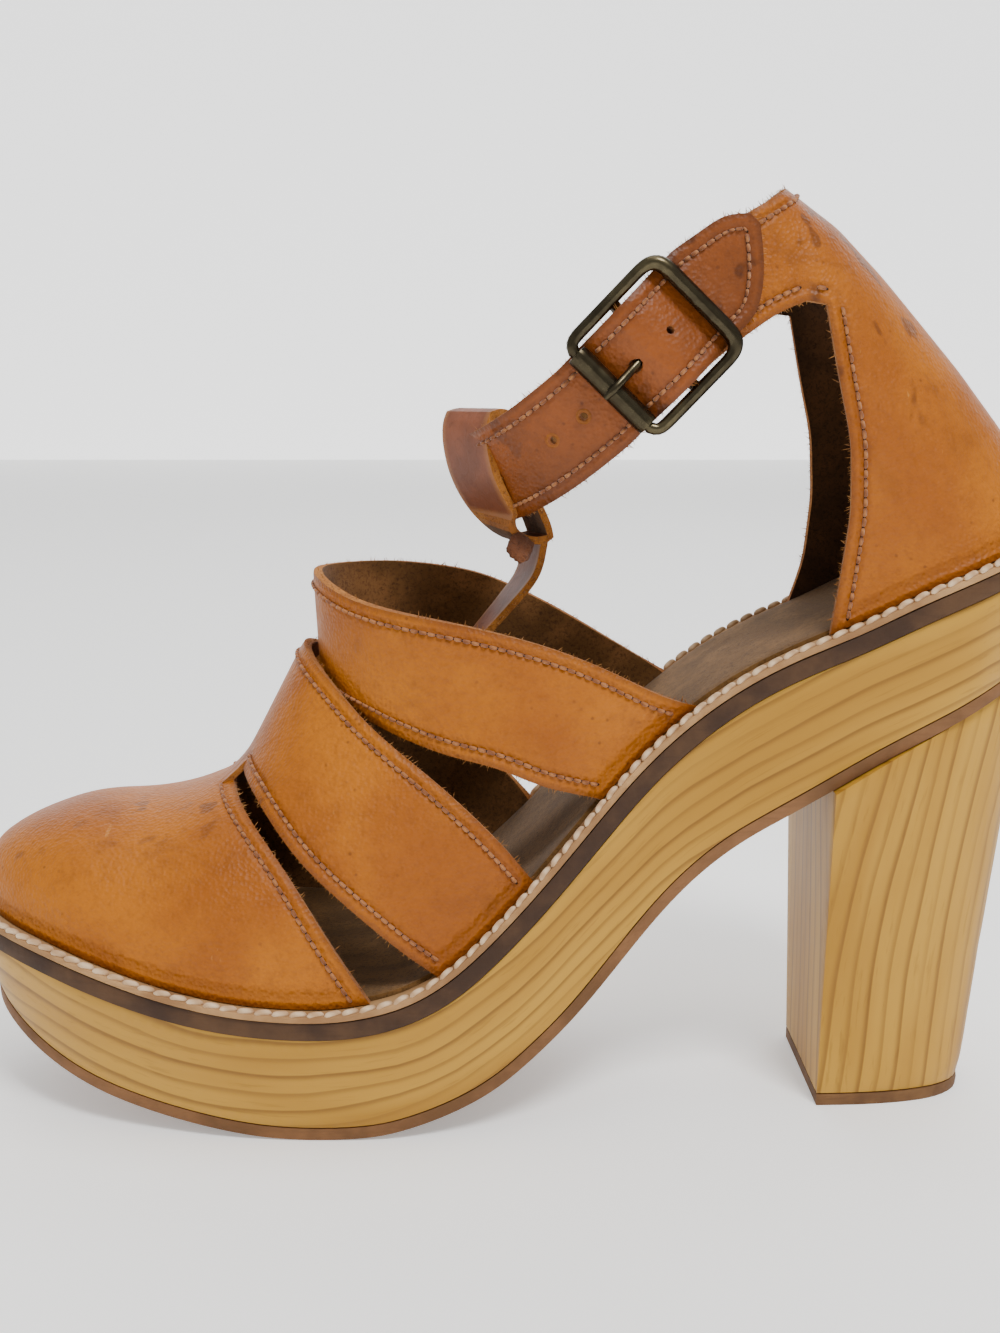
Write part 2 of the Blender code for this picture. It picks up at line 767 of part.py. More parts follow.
def foot_curve(rows, count):
    """Turns an edge's shares into points over the sole and spaces them evenly."""
    rows = np.array(rows, float)
    x = TIP_X + rows[:, 0] * LENGTH
    z = welt_z(x) + rows[:, 2] * INSTEP_RISE
    points = np.column_stack([x, rows[:, 1] * BALL_WIDTH, z])
    for k, side in ((0, -1), (-1, 1)):
        points[k, 1] = edge_y(points[k, 0], side, UPPER_INSET)
    return spline(points, count)


def strap_grid(lower, upper, steps=34, across=4):
    """Grid of a strap's outer face between its two edges, standing on the welt at both ends."""
    low = foot_curve(lower, steps + 1)
    high = foot_curve(upper, steps + 1)
    grid = np.empty((steps + 1, across + 1, 3))
    for j in range(across + 1):
        t = j / across
        grid[:, j] = low * (1 - t) + high * t
    for k, side in ((0, -1), (steps, 1)):
        for j in range(across + 1):
            x = grid[k, j, 0]
            seat = np.array([x, edge_y(x, side, UPPER_INSET), welt_z(x)])
            shift = seat - grid[k, j]
            for m in range(6):
                row = k + m if k == 0 else k - m
                grid[row, j] += shift * (1 - m / 6) ** 2
    return grid


def upper():
    """Toe cap, bridge and both straps, joined where they cross."""
    verts, faces = toe_cap()
    body = add_object("upper", verts, faces, "leather")
    straps = {}
    for number, lower_rows, upper_rows in ((1, STRAP_1_LOWER, STRAP_1_UPPER),
                                           (2, STRAP_2_LOWER, STRAP_2_UPPER)):
        grid = strap_grid(lower_rows, upper_rows)
        normals = grid_normals(grid)
        middle = grid.shape[0] // 2
        inward = UPPER_WALL if normals[middle, 2, 0] > 0.0 else -UPPER_WALL
        verts, faces = thick_sheet(grid, inward, seat_rows=(0, grid.shape[0] - 1))
        part = add_object(f"guide_strap_{number}", verts, faces, "leather")
        boolean(body, part, "UNION")
        straps[number] = grid + normals * inward / 2
    verts, faces = bridge(straps)
    part = add_object("guide_bridge", verts, faces, "leather")
    boolean(body, part, "UNION")
    return body


def cap_middle(x, y):
    """Point in the middle of the toe cap's wall above x and y."""
    low, high = 0.0, 1.0
    for _ in range(24):
        around = (low + high) / 2
        if last_point(x, around)[1] < y:
            low = around
        else:
            high = around
    step = 0.01
    along = np.subtract(last_point(x + step * LENGTH, around), last_point(x - step * LENGTH, around))
    across = np.subtract(last_point(x, around + step), last_point(x, around - step))
    normal = np.cross(along, across)
    normal *= math.copysign(1.0, normal[2]) / np.linalg.norm(normal)
    return np.array(last_point(x, around)) - normal * UPPER_WALL / 2


def strap_middle(grid, share, y):
    """Point in the middle of a strap's wall at a share of its width, where it crosses y."""
    place = share * (grid.shape[1] - 1)
    column = min(int(place), grid.shape[1] - 2)
    line = grid[:, column] * (column + 1 - place) + grid[:, column + 1] * (place - column)
    return np.array([np.interp(y, line[:, 1], line[:, k]) for k in range(3)])


def bridge(straps):
    """The tongue of leather that runs inside the crests and joins the toe cap and the straps."""
    rear = TIP_X + LENGTH * TOE_REAR[-1][1]
    rows, columns = 16, 6
    grid = np.empty((rows + 1, columns + 1, 3))
    for j in range(columns + 1):
        y = BRIDGE_WIDTH * (j / columns - 0.5)
        way = [cap_middle(rear - share * LENGTH, y) for share in BRIDGE_ROOTS]
        way += [strap_middle(straps[strap], share, y) for strap, share in BRIDGE_WAY]
        grid[:, j] = spline(way, rows + 1)
    half = grid_normals(grid) * BRIDGE_WALL / 2
    upward = math.copysign(1.0, half[1, columns // 2, 2])
    grid, other = grid + half * upward, grid - half * upward
    return walled(grid, other, np.ones((rows, columns), bool))


def seat_height():
    """Height of the welt under the front of the counter, from which the collar is measured."""
    return float(height("bed", WELT_TOP + GAP, HEEL_X - UPPER_INSET))


def collar_z(up):
    """Height of a point of the collar or the ankle strap."""
    return seat_height() + up * COLLAR_RISE


def counter():
    """The heel counter with its collar, and the strap ends that reach forward from it."""
    around = 20
    ends = len(COUNTER_ENDS)
    rows = len(COUNTER_LEVELS)
    columns = around + 1 + 2 * ends
    grid = np.zeros((rows, columns, 3))
    for r, (front, back, half, front_up, back_up) in enumerate(COUNTER_LEVELS):
        x1 = TIP_X + back * LENGTH
        for k in range(around + 1):
            turn = math.pi * k / around
            side = -1.0 if k <= around // 2 else 1.0
            x0 = TIP_X + front * LENGTH + (INNER_WING_SETBACK if side > 0 and 0 < r < 6 else 0.0)
            reach = math.sin(turn) ** (0.9 if r < 2 else 1.1)
            if r == 0:
                x1 = HEEL_X - UPPER_INSET
            x = x0 + (x1 - x0) * reach
            y = side * half * BALL_WIDTH * abs(math.cos(turn)) ** 0.92
            y_sole = float(edge_y(min(x0 + (HEEL_X - UPPER_INSET - x0) * reach, HEEL_X - UPPER_INSET), side,
                                  UPPER_INSET))
            follow = (1.0, 0.72, 0.4, 0.18, 0.05, 0.0, 0.0, 0.0)[r]
            y = y_sole * follow + y * (1.0 - follow)
            if r == 0:
                z = float(welt_z(x))
            else:
                z = collar_z(front_up + (back_up - front_up) * reach ** 1.4)
            grid[r, ends + k] = (x, y, z)
    for k, (low_along, low_up, high_along, high_up, half, drop) in enumerate(COUNTER_ENDS):
        for side in (-1, 1):
            column = k if side < 0 else columns - 1 - k
            fall = drop if side > 0 else 0.0
            for r in range(rows):
                t = (r - COUNTER_BAND_ROW) / (rows - 1 - COUNTER_BAND_ROW)
                t = max(t, 0.0)
                x = TIP_X + (low_along + (high_along - low_along) * t) * LENGTH
                z = collar_z(low_up + (high_up - low_up) * t - fall)
                y = side * half * BALL_WIDTH
                grid[r, column] = (x, y, z)
    present = np.zeros((rows - 1, columns - 1), bool)
    present[COUNTER_BAND_ROW:, :] = True
    present[:, ends:ends + around] = True
    inward = COUNTER_WALL if grid_normals(grid)[2, ends + around // 2, 0] < 0.0 else -COUNTER_WALL
    verts, faces = thick_sheet(grid, inward, present, seat_rows=(0,))
    return add_object("heel_counter", verts, faces, "leather")


SLOPE = math.radians(BUCKLE_SLOPE)
ALONG_AXIS = np.array([math.cos(SLOPE), 0.0, math.sin(SLOPE)])
ACROSS_AXIS = np.array([-math.sin(SLOPE), 0.0, math.cos(SLOPE)])
OUT_AXIS = np.array([0.0, -1.0, 0.0])
END_FACE = COUNTER_ENDS[0][4] * BALL_WIDTH


def buckle_point(along, across, out):
    """World point from the buckle's own axes; out is measured from the strap end's face."""
    centre = np.array([TIP_X + BUCKLE_ALONG * LENGTH, -END_FACE, collar_z(BUCKLE_UP)])
    return centre + ALONG_AXIS * along + ACROSS_AXIS * across + OUT_AXIS * out


CHAPE_FLOOR = GAP
CENTRE_BAR_OUT = CHAPE_FLOOR + CHAPE_WALL + GAP + CENTRE_BAR_THICKNESS / 2
FRAME_OUT = CENTRE_BAR_OUT + BAR_DROP
DOME_OUT = CENTRE_BAR_OUT + CENTRE_BAR_THICKNESS / 2 + GAP + PRONG_THICKNESS + GAP


def strap_route(share):
    """Height of the strap's ankle-side face in the buckle at a share of the buckle's length."""
    table = np.array(BUCKLE_ROUTE)[::-1]
    return float(monotone(table[:, 0], table[:, 1], share)) * DOME_OUT


def ankle_strap():
    """The strap from its tip, through the buckle and the loop, to the inner side."""
    centres, leans = [], []
    for share, rise, shift in BUCKLE_ROUTE:
        centres.append(buckle_point(share * BUCKLE_LENGTH, shift * STRAP_WIDTH, rise * DOME_OUT))
        leans.append(BUCKLE_SLOPE)
    for along, across, up, lean in ANKLE_PATH:
        centres.append(np.array([TIP_X + along * LENGTH, across * BALL_WIDTH, collar_z(up)]))
        leans.append(lean)
    steps = 64
    path = spline(np.column_stack([centres, leans]), steps + 1)
    run = np.concatenate([[0.0], np.cumsum(np.linalg.norm(np.diff(path[:, :3], axis=0), axis=1))])
    across_count = 3
    grid = np.empty((steps + 1, across_count + 1, 3))
    for i in range(steps + 1):
        lean = math.radians(path[i, 3])
        wide = np.array([-math.sin(lean), 0.0, math.cos(lean)])
        close = min(run[i] / STRAP_TIP_LENGTH, 1.0)
        low = -1.0 + 1.45 * (1.0 - close) ** 1.7
        high = 1.0 - 0.28 * (1.0 - min(close * 3.0, 1.0)) ** 2
        for j in range(across_count + 1):
            t = low + (high - low) * j / across_count
            grid[i, j] = path[i, :3] + wide * STRAP_WIDTH / 2 * t
    normals = grid_normals(grid)
    middle = steps * 6 // 10
    outward = STRAP_WALL if normals[middle, 1, 0] < 0.0 else -STRAP_WALL
    verts, faces = thick_sheet(grid, outward)
    body = add_object("ankle_strap", verts, faces, "leather")
    slot = prong_path()
    size = PRONG_THICKNESS / 2 + 1.6 * GAP
    cutter = sweep("guide_prong_hole", slot, [(size, size)] * len(slot), ACROSS_AXIS, False, 10, "leather")
    boolean(body, cutter, "DIFFERENCE")
    exit_point = buckle_point(PRONG_HOLE * BUCKLE_LENGTH, 0.0, strap_route(PRONG_HOLE))
    start = run[int(np.argmin(np.linalg.norm(path[:, :3] - exit_point, axis=1)))]
    for number, pitches in enumerate(SPARE_HOLES):
        index = int(np.argmin(np.abs(run - start - pitches * HOLE_PITCH)))
        direction = normals[index, 1] * math.copysign(1.0, outward)
        cutter = cylinder(f"guide_hole_{number}", path[index, :3] + direction * STRAP_WALL / 2, direction,
                          HOLE_BORE / 2, STRAP_WALL * 2.2, 8)
        boolean(body, cutter, "DIFFERENCE")
    return body


def cylinder(name, centre, direction, radius, depth, sides):
    """A plain cylinder about a point and a direction."""
    direction = np.asarray(direction, float) / np.linalg.norm(direction)
    helper = np.array([0.0, 0.0, 1.0]) if abs(direction[2]) < 0.9 else np.array([1.0, 0.0, 0.0])
    u = np.cross(direction, helper)
    u /= np.linalg.norm(u)
    v = np.cross(direction, u)
    verts, faces = [], []
    for end in (-0.5, 0.5):
        for k in range(sides):
            angle = 2 * math.pi * k / sides
            verts.append(centre + direction * depth * end + radius * (u * math.cos(angle) + v * math.sin(angle)))
    for k in range(sides):
        m = (k + 1) % sides
        faces.append((k, m, sides + m, sides + k))
    faces.append(tuple(range(sides)))
    faces.append(tuple(range(sides, 2 * sides)))
    return add_object(name, verts, faces, "leather")


def sweep(name, path, radii, up, closed, sides, finish):
    """A bar of changing oval section along a flat path."""
    path = np.asarray(path, float)
    count = len(path)
    verts, faces = [], []
    for i in range(count):
        before = path[i - 1] if closed or i > 0 else path[i]
        after = path[(i + 1) % count] if closed or i < count - 1 else path[i]
        tangent = (after - before) / np.linalg.norm(after - before)
        side = np.cross(tangent, up)
        side /= np.linalg.norm(side)
        for k in range(sides):
            angle = 2 * math.pi * (k + 0.5) / sides
            verts.append(path[i] + side * radii[i][0] * math.cos(angle) + up * radii[i][1] * math.sin(angle))
    last = count if closed else count - 1
    for i in range(last):
        n = (i + 1) % count
        for k in range(sides):
            m = (k + 1) % sides
            faces.append((i * sides + k, i * sides + m, n * sides + m, n * sides + k))
    if not closed:
        faces.append(tuple(range(sides)))
        faces.append(tuple(range((count - 1) * sides, count * sides)))
    return add_object(name, verts, faces, finish)


FRAME_INNER_WIDTH = STRAP_WIDTH + 2 * BUCKLE_SIDE_CLEARANCE


def buckle_frame():
    """The rounded frame with its centre bar; the bar at the loop's end is the roller's axle."""
    half_long = BUCKLE_LENGTH / 2 - END_BAR_THICKNESS / 2
    half_wide = FRAME_INNER_WIDTH / 2 + RAIL_THICKNESS / 2
    path, radii = [], []
    for sx, sy, start in ((1, 1, 0.0), (-1, 1, 90.0), (-1, -1, 180.0), (1, -1, 270.0)):
        corner = BUCKLE_CORNER if sx > 0 else ROLLER_CORNER
        for k in range(5):
            angle = math.radians(start + 90.0 * k / 4)
            along = sx * (half_long - corner) + corner * math.cos(angle)
            across = sy * (half_wide - corner) + corner * math.sin(angle)
            path.append(buckle_point(along, across, FRAME_OUT))
            mix = abs(math.cos(angle)) ** 2
            bar = END_BAR_THICKNESS if sx > 0 else RAIL_THICKNESS
            size = (RAIL_THICKNESS * (1 - mix) + bar * mix) / 2
            radii.append((size, size * 0.95))
        if sx < 0 and sy > 0:
            straight = half_wide - corner - GAP
            for share in (1.0, 0.5, 0.0, -0.5, -1.0):
                path.append(buckle_point(-half_long, share * straight, FRAME_OUT))
                radii.append((AXLE_THICKNESS / 2, AXLE_THICKNESS / 2))
    frame = sweep("buckle_frame", path, radii, OUT_AXIS, True, 10, "brass")
    bar_path = []
    drop = FRAME_OUT - CENTRE_BAR_OUT
    for share in (-1.0, -0.9, -0.8, 0.8, 0.9, 1.0):
        sunk = 1.0 if abs(share) < 0.85 else (0.5 if abs(share) < 0.95 else 0.0)
        bar_path.append(buckle_point(0.0, share * half_wide, FRAME_OUT - drop * sunk))
    radius = CENTRE_BAR_THICKNESS / 2
    bar = sweep("guide_centre_bar", bar_path, [(radius, radius)] * len(bar_path), ALONG_AXIS, False, 10, "brass")
    boolean(frame, bar, "UNION")
    return frame


def ring_solid(name, centre, axis, inner, outer, width, sides, finish):
    """A tube about an axis."""
    axis = np.asarray(axis, float)
    helper = OUT_AXIS
    u = np.cross(axis, helper)
    u /= np.linalg.norm(u)
    v = np.cross(axis, u)
    verts, faces = [], []
    for radius, end in ((inner, -0.5), (outer, -0.5), (outer, 0.5), (inner, 0.5)):
        for k in range(sides):
            angle = 2 * math.pi * k / sides
            verts.append(centre + axis * width * end + radius * (u * math.cos(angle) + v * math.sin(angle)))
    for r in range(4):
        n = (r + 1) % 4
        for k in range(sides):
            m = (k + 1) % sides
            faces.append((r * sides + k, r * sides + m, n * sides + m, n * sides + k))
    return add_object(name, verts, faces, finish)


def buckle_roller():
    """The tube that turns on the frame's thin bar."""
    half_long = BUCKLE_LENGTH / 2 - END_BAR_THICKNESS / 2
    centre = buckle_point(-half_long, 0.0, FRAME_OUT)
    width = 2 * (FRAME_INNER_WIDTH / 2 + RAIL_THICKNESS / 2 - ROLLER_CORNER - 2 * GAP)
    return ring_solid("buckle_roller", centre, ACROSS_AXIS, AXLE_THICKNESS / 2 + GAP, ROLLER_DIAMETER / 2,
                      width, 20, "brass")


def prong_path():
    """Middle line of the tongue, from its hook round the centre bar to its tip."""
    hook = CENTRE_BAR_THICKNESS / 2 + GAP + PRONG_THICKNESS / 2
    half_long = BUCKLE_LENGTH / 2 - END_BAR_THICKNESS / 2
    resting = FRAME_OUT + ROLLER_DIAMETER / 2 + GAP + PRONG_THICKNESS / 2
    points = []
    for degrees in (0.0, 25.0, 50.0, 75.0):
        angle = math.radians(degrees)
        points.append((hook * math.cos(angle), CENTRE_BAR_OUT + hook * math.sin(angle)))
    low = points[-1][1]
    points.append((-0.15 * half_long, low + (resting - low) * 0.06))
    points.append((-0.45 * half_long, low + (resting - low) * 0.26))
    points.append((-0.76 * half_long, low + (resting - low) * 0.76))
    points.append((-half_long, resting))
    points.append((-half_long - PRONG_OVERHANG, resting - PRONG_THICKNESS * 0.2))
    return [buckle_point(a, 0.0, n) for a, n in spline(points, 22)]


def buckle_prong():
    """The tongue: hooked on the centre bar, through the strap's hole, over the roller."""
    path = prong_path()
    radii = [(PRONG_THICKNESS / 2, PRONG_THICKNESS / 2)] * len(path)
    radii[-1] = (PRONG_THICKNESS * 0.33, PRONG_THICKNESS * 0.33)
    return sweep("buckle_prong", path, radii, ACROSS_AXIS, False, 8, "brass")


def buckle_chape():
    """The leather fold that holds the centre bar to the strap end, slotted for the prong."""
    middle = CENTRE_BAR_THICKNESS / 2 + GAP + CHAPE_WALL / 2
    low = CHAPE_FLOOR + CHAPE_WALL / 2
    points = [(CHAPE_LEG, low), (CHAPE_LEG * 0.7, low), (CHAPE_LEG * 0.42, low + 0.0001)]
    for degrees in (270.0, 225.0, 180.0, 135.0, 90.0, 45.0, 0.0, -32.0):
        angle = math.radians(degrees)
        points.append((middle * math.cos(angle), CENTRE_BAR_OUT + middle * math.sin(angle)))
    flat = spline(points, 26)
    width = STRAP_WIDTH * 0.86
    grid = np.empty((len(flat), 3, 3))
    tangent = np.gradient(flat, axis=0)
    tangent /= np.linalg.norm(tangent, axis=1, keepdims=True)
    for i, (a, n) in enumerate(flat):
        side = np.array([tangent[i, 1], -tangent[i, 0]]) * CHAPE_WALL / 2
        for j in range(3):
            grid[i, j] = buckle_point(a - side[0], (j / 2 - 0.5) * width, n - side[1])
    other = np.empty_like(grid)
    for i, (a, n) in enumerate(flat):
        side = np.array([tangent[i, 1], -tangent[i, 0]]) * CHAPE_WALL / 2
        for j in range(3):
            other[i, j] = buckle_point(a + side[0], (j / 2 - 0.5) * width, n + side[1])
    verts, faces = walled(grid, other, np.ones((len(flat) - 1, 2), bool))
    body = add_object("buckle_chape", verts, faces, "leather")
    slot = PRONG_THICKNESS + 4 * GAP
    reach = middle + CHAPE_WALL
    corners = []
    for a in (-reach * 1.4, reach * 1.4):
        for b in (-slot / 2, slot / 2):
            for n in (CENTRE_BAR_OUT - CENTRE_BAR_THICKNESS / 2, CENTRE_BAR_OUT + reach * 1.4):
                corners.append(buckle_point(a, b, n))
    faces = [(0, 1, 3, 2), (4, 6, 7, 5), (0, 4, 5, 1), (2, 3, 7, 6), (0, 2, 6, 4), (1, 5, 7, 3)]
    cutter = add_object("guide_slot", corners, faces, "leather")
    boolean(body, cutter, "DIFFERENCE")
    return body


def instep_tab():
    """The strip that holds the ankle strap: a loop round it and a tab down to the crest."""
    front = ANKLE_PATH[LOOP_ROW]
    centre = np.array([TIP_X + front[0] * LENGTH, front[1] * BALL_WIDTH, collar_z(front[2])])
    turn = math.radians(LOOP_TURN)
    inward = np.array([math.cos(turn), math.sin(turn), 0.0])
    wide = np.array([-math.sin(turn), math.cos(turn), 0.0])
    upward = np.array([0.0, 0.0, 1.0])
    loop = np.array([(a * LENGTH, u * COLLAR_RISE) for a, u in LOOP_SECTION])
    flat = spline(loop, 40, closed=True)
    tangent = np.roll(flat, -1, axis=0) - np.roll(flat, 1, axis=0)
    tangent /= np.linalg.norm(tangent, axis=1, keepdims=True)
    normal = np.column_stack([tangent[:, 1], -tangent[:, 0]])
    verts, faces = [], []
    count = len(flat)
    for sign, across in ((-0.5, -0.5), (0.5, -0.5), (0.5, 0.5), (-0.5, 0.5)):
        for a, u in flat + normal * LOOP_WALL * sign:
            verts.append(centre + inward * a + upward * u + wide * LOOP_WIDTH * across)
    for r in range(4):
        n = (r + 1) % 4
        for k in range(count):
            m = (k + 1) % count
            faces.append((r * count + k, r * count + m, n * count + m, n * count + k))
    body = add_object("instep_tab", verts, faces, "loop_leather")
    crest_low = STRAP_2_LOWER[len(STRAP_2_LOWER) // 2]
    crest_x = TIP_X + crest_low[0] * LENGTH
    crest_z = float(welt_z(crest_x)) + crest_low[2] * INSTEP_RISE
    start = centre + inward * loop[LOOP_JOINT, 0] + upward * loop[LOOP_JOINT, 1]
    end = np.array([crest_x + UPPER_WALL + LOOP_WALL / 2 + CREST_CLEARANCE, TAB_END_Y, crest_z + TAB_END_RISE])
    fall = start[2] - end[2]
    line = spline([(reach, drop) for reach, drop in TAB_SECTION], 20)
    middles = np.array([start + (end - start) * np.array([reach, reach, 0.0]) - upward * fall * drop
                        for reach, drop in line])
    run = np.gradient(middles, axis=0)
    run /= np.linalg.norm(run, axis=1, keepdims=True)
    grid = np.empty((len(line), 3, 3))
    other = np.empty_like(grid)
    for i, middle in enumerate(middles):
        share = i / (len(line) - 1)
        across = wide * (1.0 - share) + np.array([0.0, 1.0, 0.0]) * share
        across /= np.linalg.norm(across)
        normal = np.cross(run[i], across)
        normal /= np.linalg.norm(normal)
        for j in range(3):
            point = middle + across * (j / 2 - 0.5) * LOOP_WIDTH * (1.0 - 0.3 * share)
            grid[i, j] = point - normal * LOOP_WALL / 2
            other[i, j] = point + normal * LOOP_WALL / 2
    verts, faces = walled(grid, other, np.ones((len(line) - 1, 2), bool))
    tab = add_object("guide_tab", verts, faces, "loop_leather")
    boolean(body, tab, "UNION")
    return body


def build():
    """Builds the shoe."""
    clear_scene()
    tread_top = OUTSOLE_THICKNESS
    sole_layer("outsole", (TREAD_INSET, "tread", 0.0), (TREAD_INSET, "tread", tread_top), "outsole")
    sole_layer("wooden_platform", (TREAD_INSET, "tread", tread_top + GAP), (WOOD_INSET, "bed", 0.0), "wood")
    sole_layer("midsole", (MIDSOLE_INSET, "bed", GAP), (MIDSOLE_INSET, "bed", GAP + MIDSOLE_THICKNESS), "midsole")
    welt_ring()
    insole_low = GAP + MIDSOLE_THICKNESS + GAP
    insole_inset = WELT_INSET + WELT_WIDTH + GAP
    sole_layer("insole", (insole_inset, "bed", insole_low), (insole_inset, "bed", insole_low + INSOLE_THICKNESS),
               "suede")
    heel_block()
    top_lift()
    upper()
    counter()
    ankle_strap()
    instep_tab()
    buckle_frame()
    buckle_roller()
    buckle_prong()
    buckle_chape()


build()
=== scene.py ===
"""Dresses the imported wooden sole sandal: leather, stitching, welt, pine and antique brass."""

from __future__ import annotations

import json
import logging
import math
from dataclasses import dataclass, field
from enum import Enum, IntEnum
from typing import Callable

import bmesh
import bpy
import numpy as np
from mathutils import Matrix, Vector
from mathutils.bvhtree import BVHTree
from mathutils.kdtree import KDTree
from mathutils.noise import turbulence

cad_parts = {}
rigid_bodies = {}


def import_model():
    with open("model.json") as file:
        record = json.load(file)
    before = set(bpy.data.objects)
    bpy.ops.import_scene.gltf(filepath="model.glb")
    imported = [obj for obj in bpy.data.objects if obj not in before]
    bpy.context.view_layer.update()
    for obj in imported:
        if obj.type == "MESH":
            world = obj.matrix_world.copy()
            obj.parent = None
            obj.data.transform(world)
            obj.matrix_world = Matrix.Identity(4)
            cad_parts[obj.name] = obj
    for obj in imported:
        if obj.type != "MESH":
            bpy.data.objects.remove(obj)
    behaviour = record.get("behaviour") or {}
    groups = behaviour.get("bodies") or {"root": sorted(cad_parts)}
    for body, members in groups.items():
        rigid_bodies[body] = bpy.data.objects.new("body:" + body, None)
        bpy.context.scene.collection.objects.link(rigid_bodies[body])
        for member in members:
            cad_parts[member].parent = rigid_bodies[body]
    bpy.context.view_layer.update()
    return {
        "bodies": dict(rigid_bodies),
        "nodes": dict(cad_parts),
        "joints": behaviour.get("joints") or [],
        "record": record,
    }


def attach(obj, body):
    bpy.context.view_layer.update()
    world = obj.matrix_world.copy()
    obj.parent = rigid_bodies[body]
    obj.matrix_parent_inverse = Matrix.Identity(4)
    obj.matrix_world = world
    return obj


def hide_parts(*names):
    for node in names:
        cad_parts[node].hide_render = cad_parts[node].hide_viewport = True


LOG = logging.getLogger("sandal")
RIM = "rim"
GRAIN = "grain"
BODY = "root"
# Points nearer to each other than this, in metres, are one point.
WELD = 0.000004
# Radians, above any real angle: what an edge counts as where no angle can be measured.
NO_ANGLE = 3.2
# Degrees up to which two faces are shaded as one smooth surface.
SMOOTH_ANGLE = 50.0

Colour = tuple[float, float, float, float]
Point = tuple[float, float, float]
Spot = tuple[Vector, Vector, Vector, float]


class Side(IntEnum):
    """The kinds of surface on a piece cut from sheet, in the order of its material slots."""

    OUTER = 0
    INNER = 1
    EDGE = 2


class GrainRun(Enum):
    """How the wood's grain runs through a piece."""

    ALONG_SOLE = "along_sole"
    UP_HEEL = "up_heel"


def tone(code: str) -> Colour:
    """Turns a hex colour into linear values.

    Args:
        code: Six hex digits, as on a screen.

    Returns:
        Red, green, blue and alpha for a shader socket.
    """
    out = []
    for place in (0, 2, 4):
        level = int(code[place:place + 2], 16) / 255.0
        out.append(level / 12.92 if level <= 0.04045 else ((level + 0.055) / 1.055) ** 2.4)
    return (out[0], out[1], out[2], 1.0)


class Wire:
    """A shader socket that takes part in Python arithmetic."""

    def __init__(self, desk: Desk, socket: bpy.types.NodeSocket) -> None:
        """Keeps the socket and the desk that makes its nodes."""
        self.desk = desk
        self.socket = socket

    def _sum(self, operation: str, first: Wire | float, second: Wire | float) -> Wire:
        """Adds one Math node and returns its result."""
        return self.desk.node("Math", {"operation": operation}, {0: first, 1: second})

    def __add__(self, other: Wire | float) -> Wire:
        """Adds two values."""
        return self._sum("ADD", self, other)

    def __radd__(self, other: float) -> Wire:
        """Adds a number on the left."""
        return self._sum("ADD", other, self)

    def __sub__(self, other: Wire | float) -> Wire:
        """Takes a value away."""
        return self._sum("SUBTRACT", self, other)

    def __rsub__(self, other: float) -> Wire:
        """Takes this value away from a number."""
        return self._sum("SUBTRACT", other, self)

    def __mul__(self, other: Wire | float) -> Wire:
        """Multiplies two values."""
        return self._sum("MULTIPLY", self, other)

    def __rmul__(self, other: float) -> Wire:
        """Multiplies by a number on the left."""
        return self._sum("MULTIPLY", other, self)

    def __truediv__(self, other: Wire | float) -> Wire:
        """Divides by a value."""
        return self._sum("DIVIDE", self, other)

    def __pow__(self, other: Wire | float) -> Wire:
        """Raises this value to a power."""
        return self._sum("POWER", self, other)

    def step(self, low: float, high: float) -> Wire:
        """Maps low to 0 and high to 1, smoothly and with clamped ends.

        Args:
            low: The value that gives 0.
            high: The value that gives 1.

        Returns:
            The smooth share between them.
        """
        return self.desk.node("MapRange", {"interpolation_type": "SMOOTHSTEP"},
                              {"Value": self, "From Min": low, "From Max": high,
                               "To Min": 0.0, "To Max": 1.0})


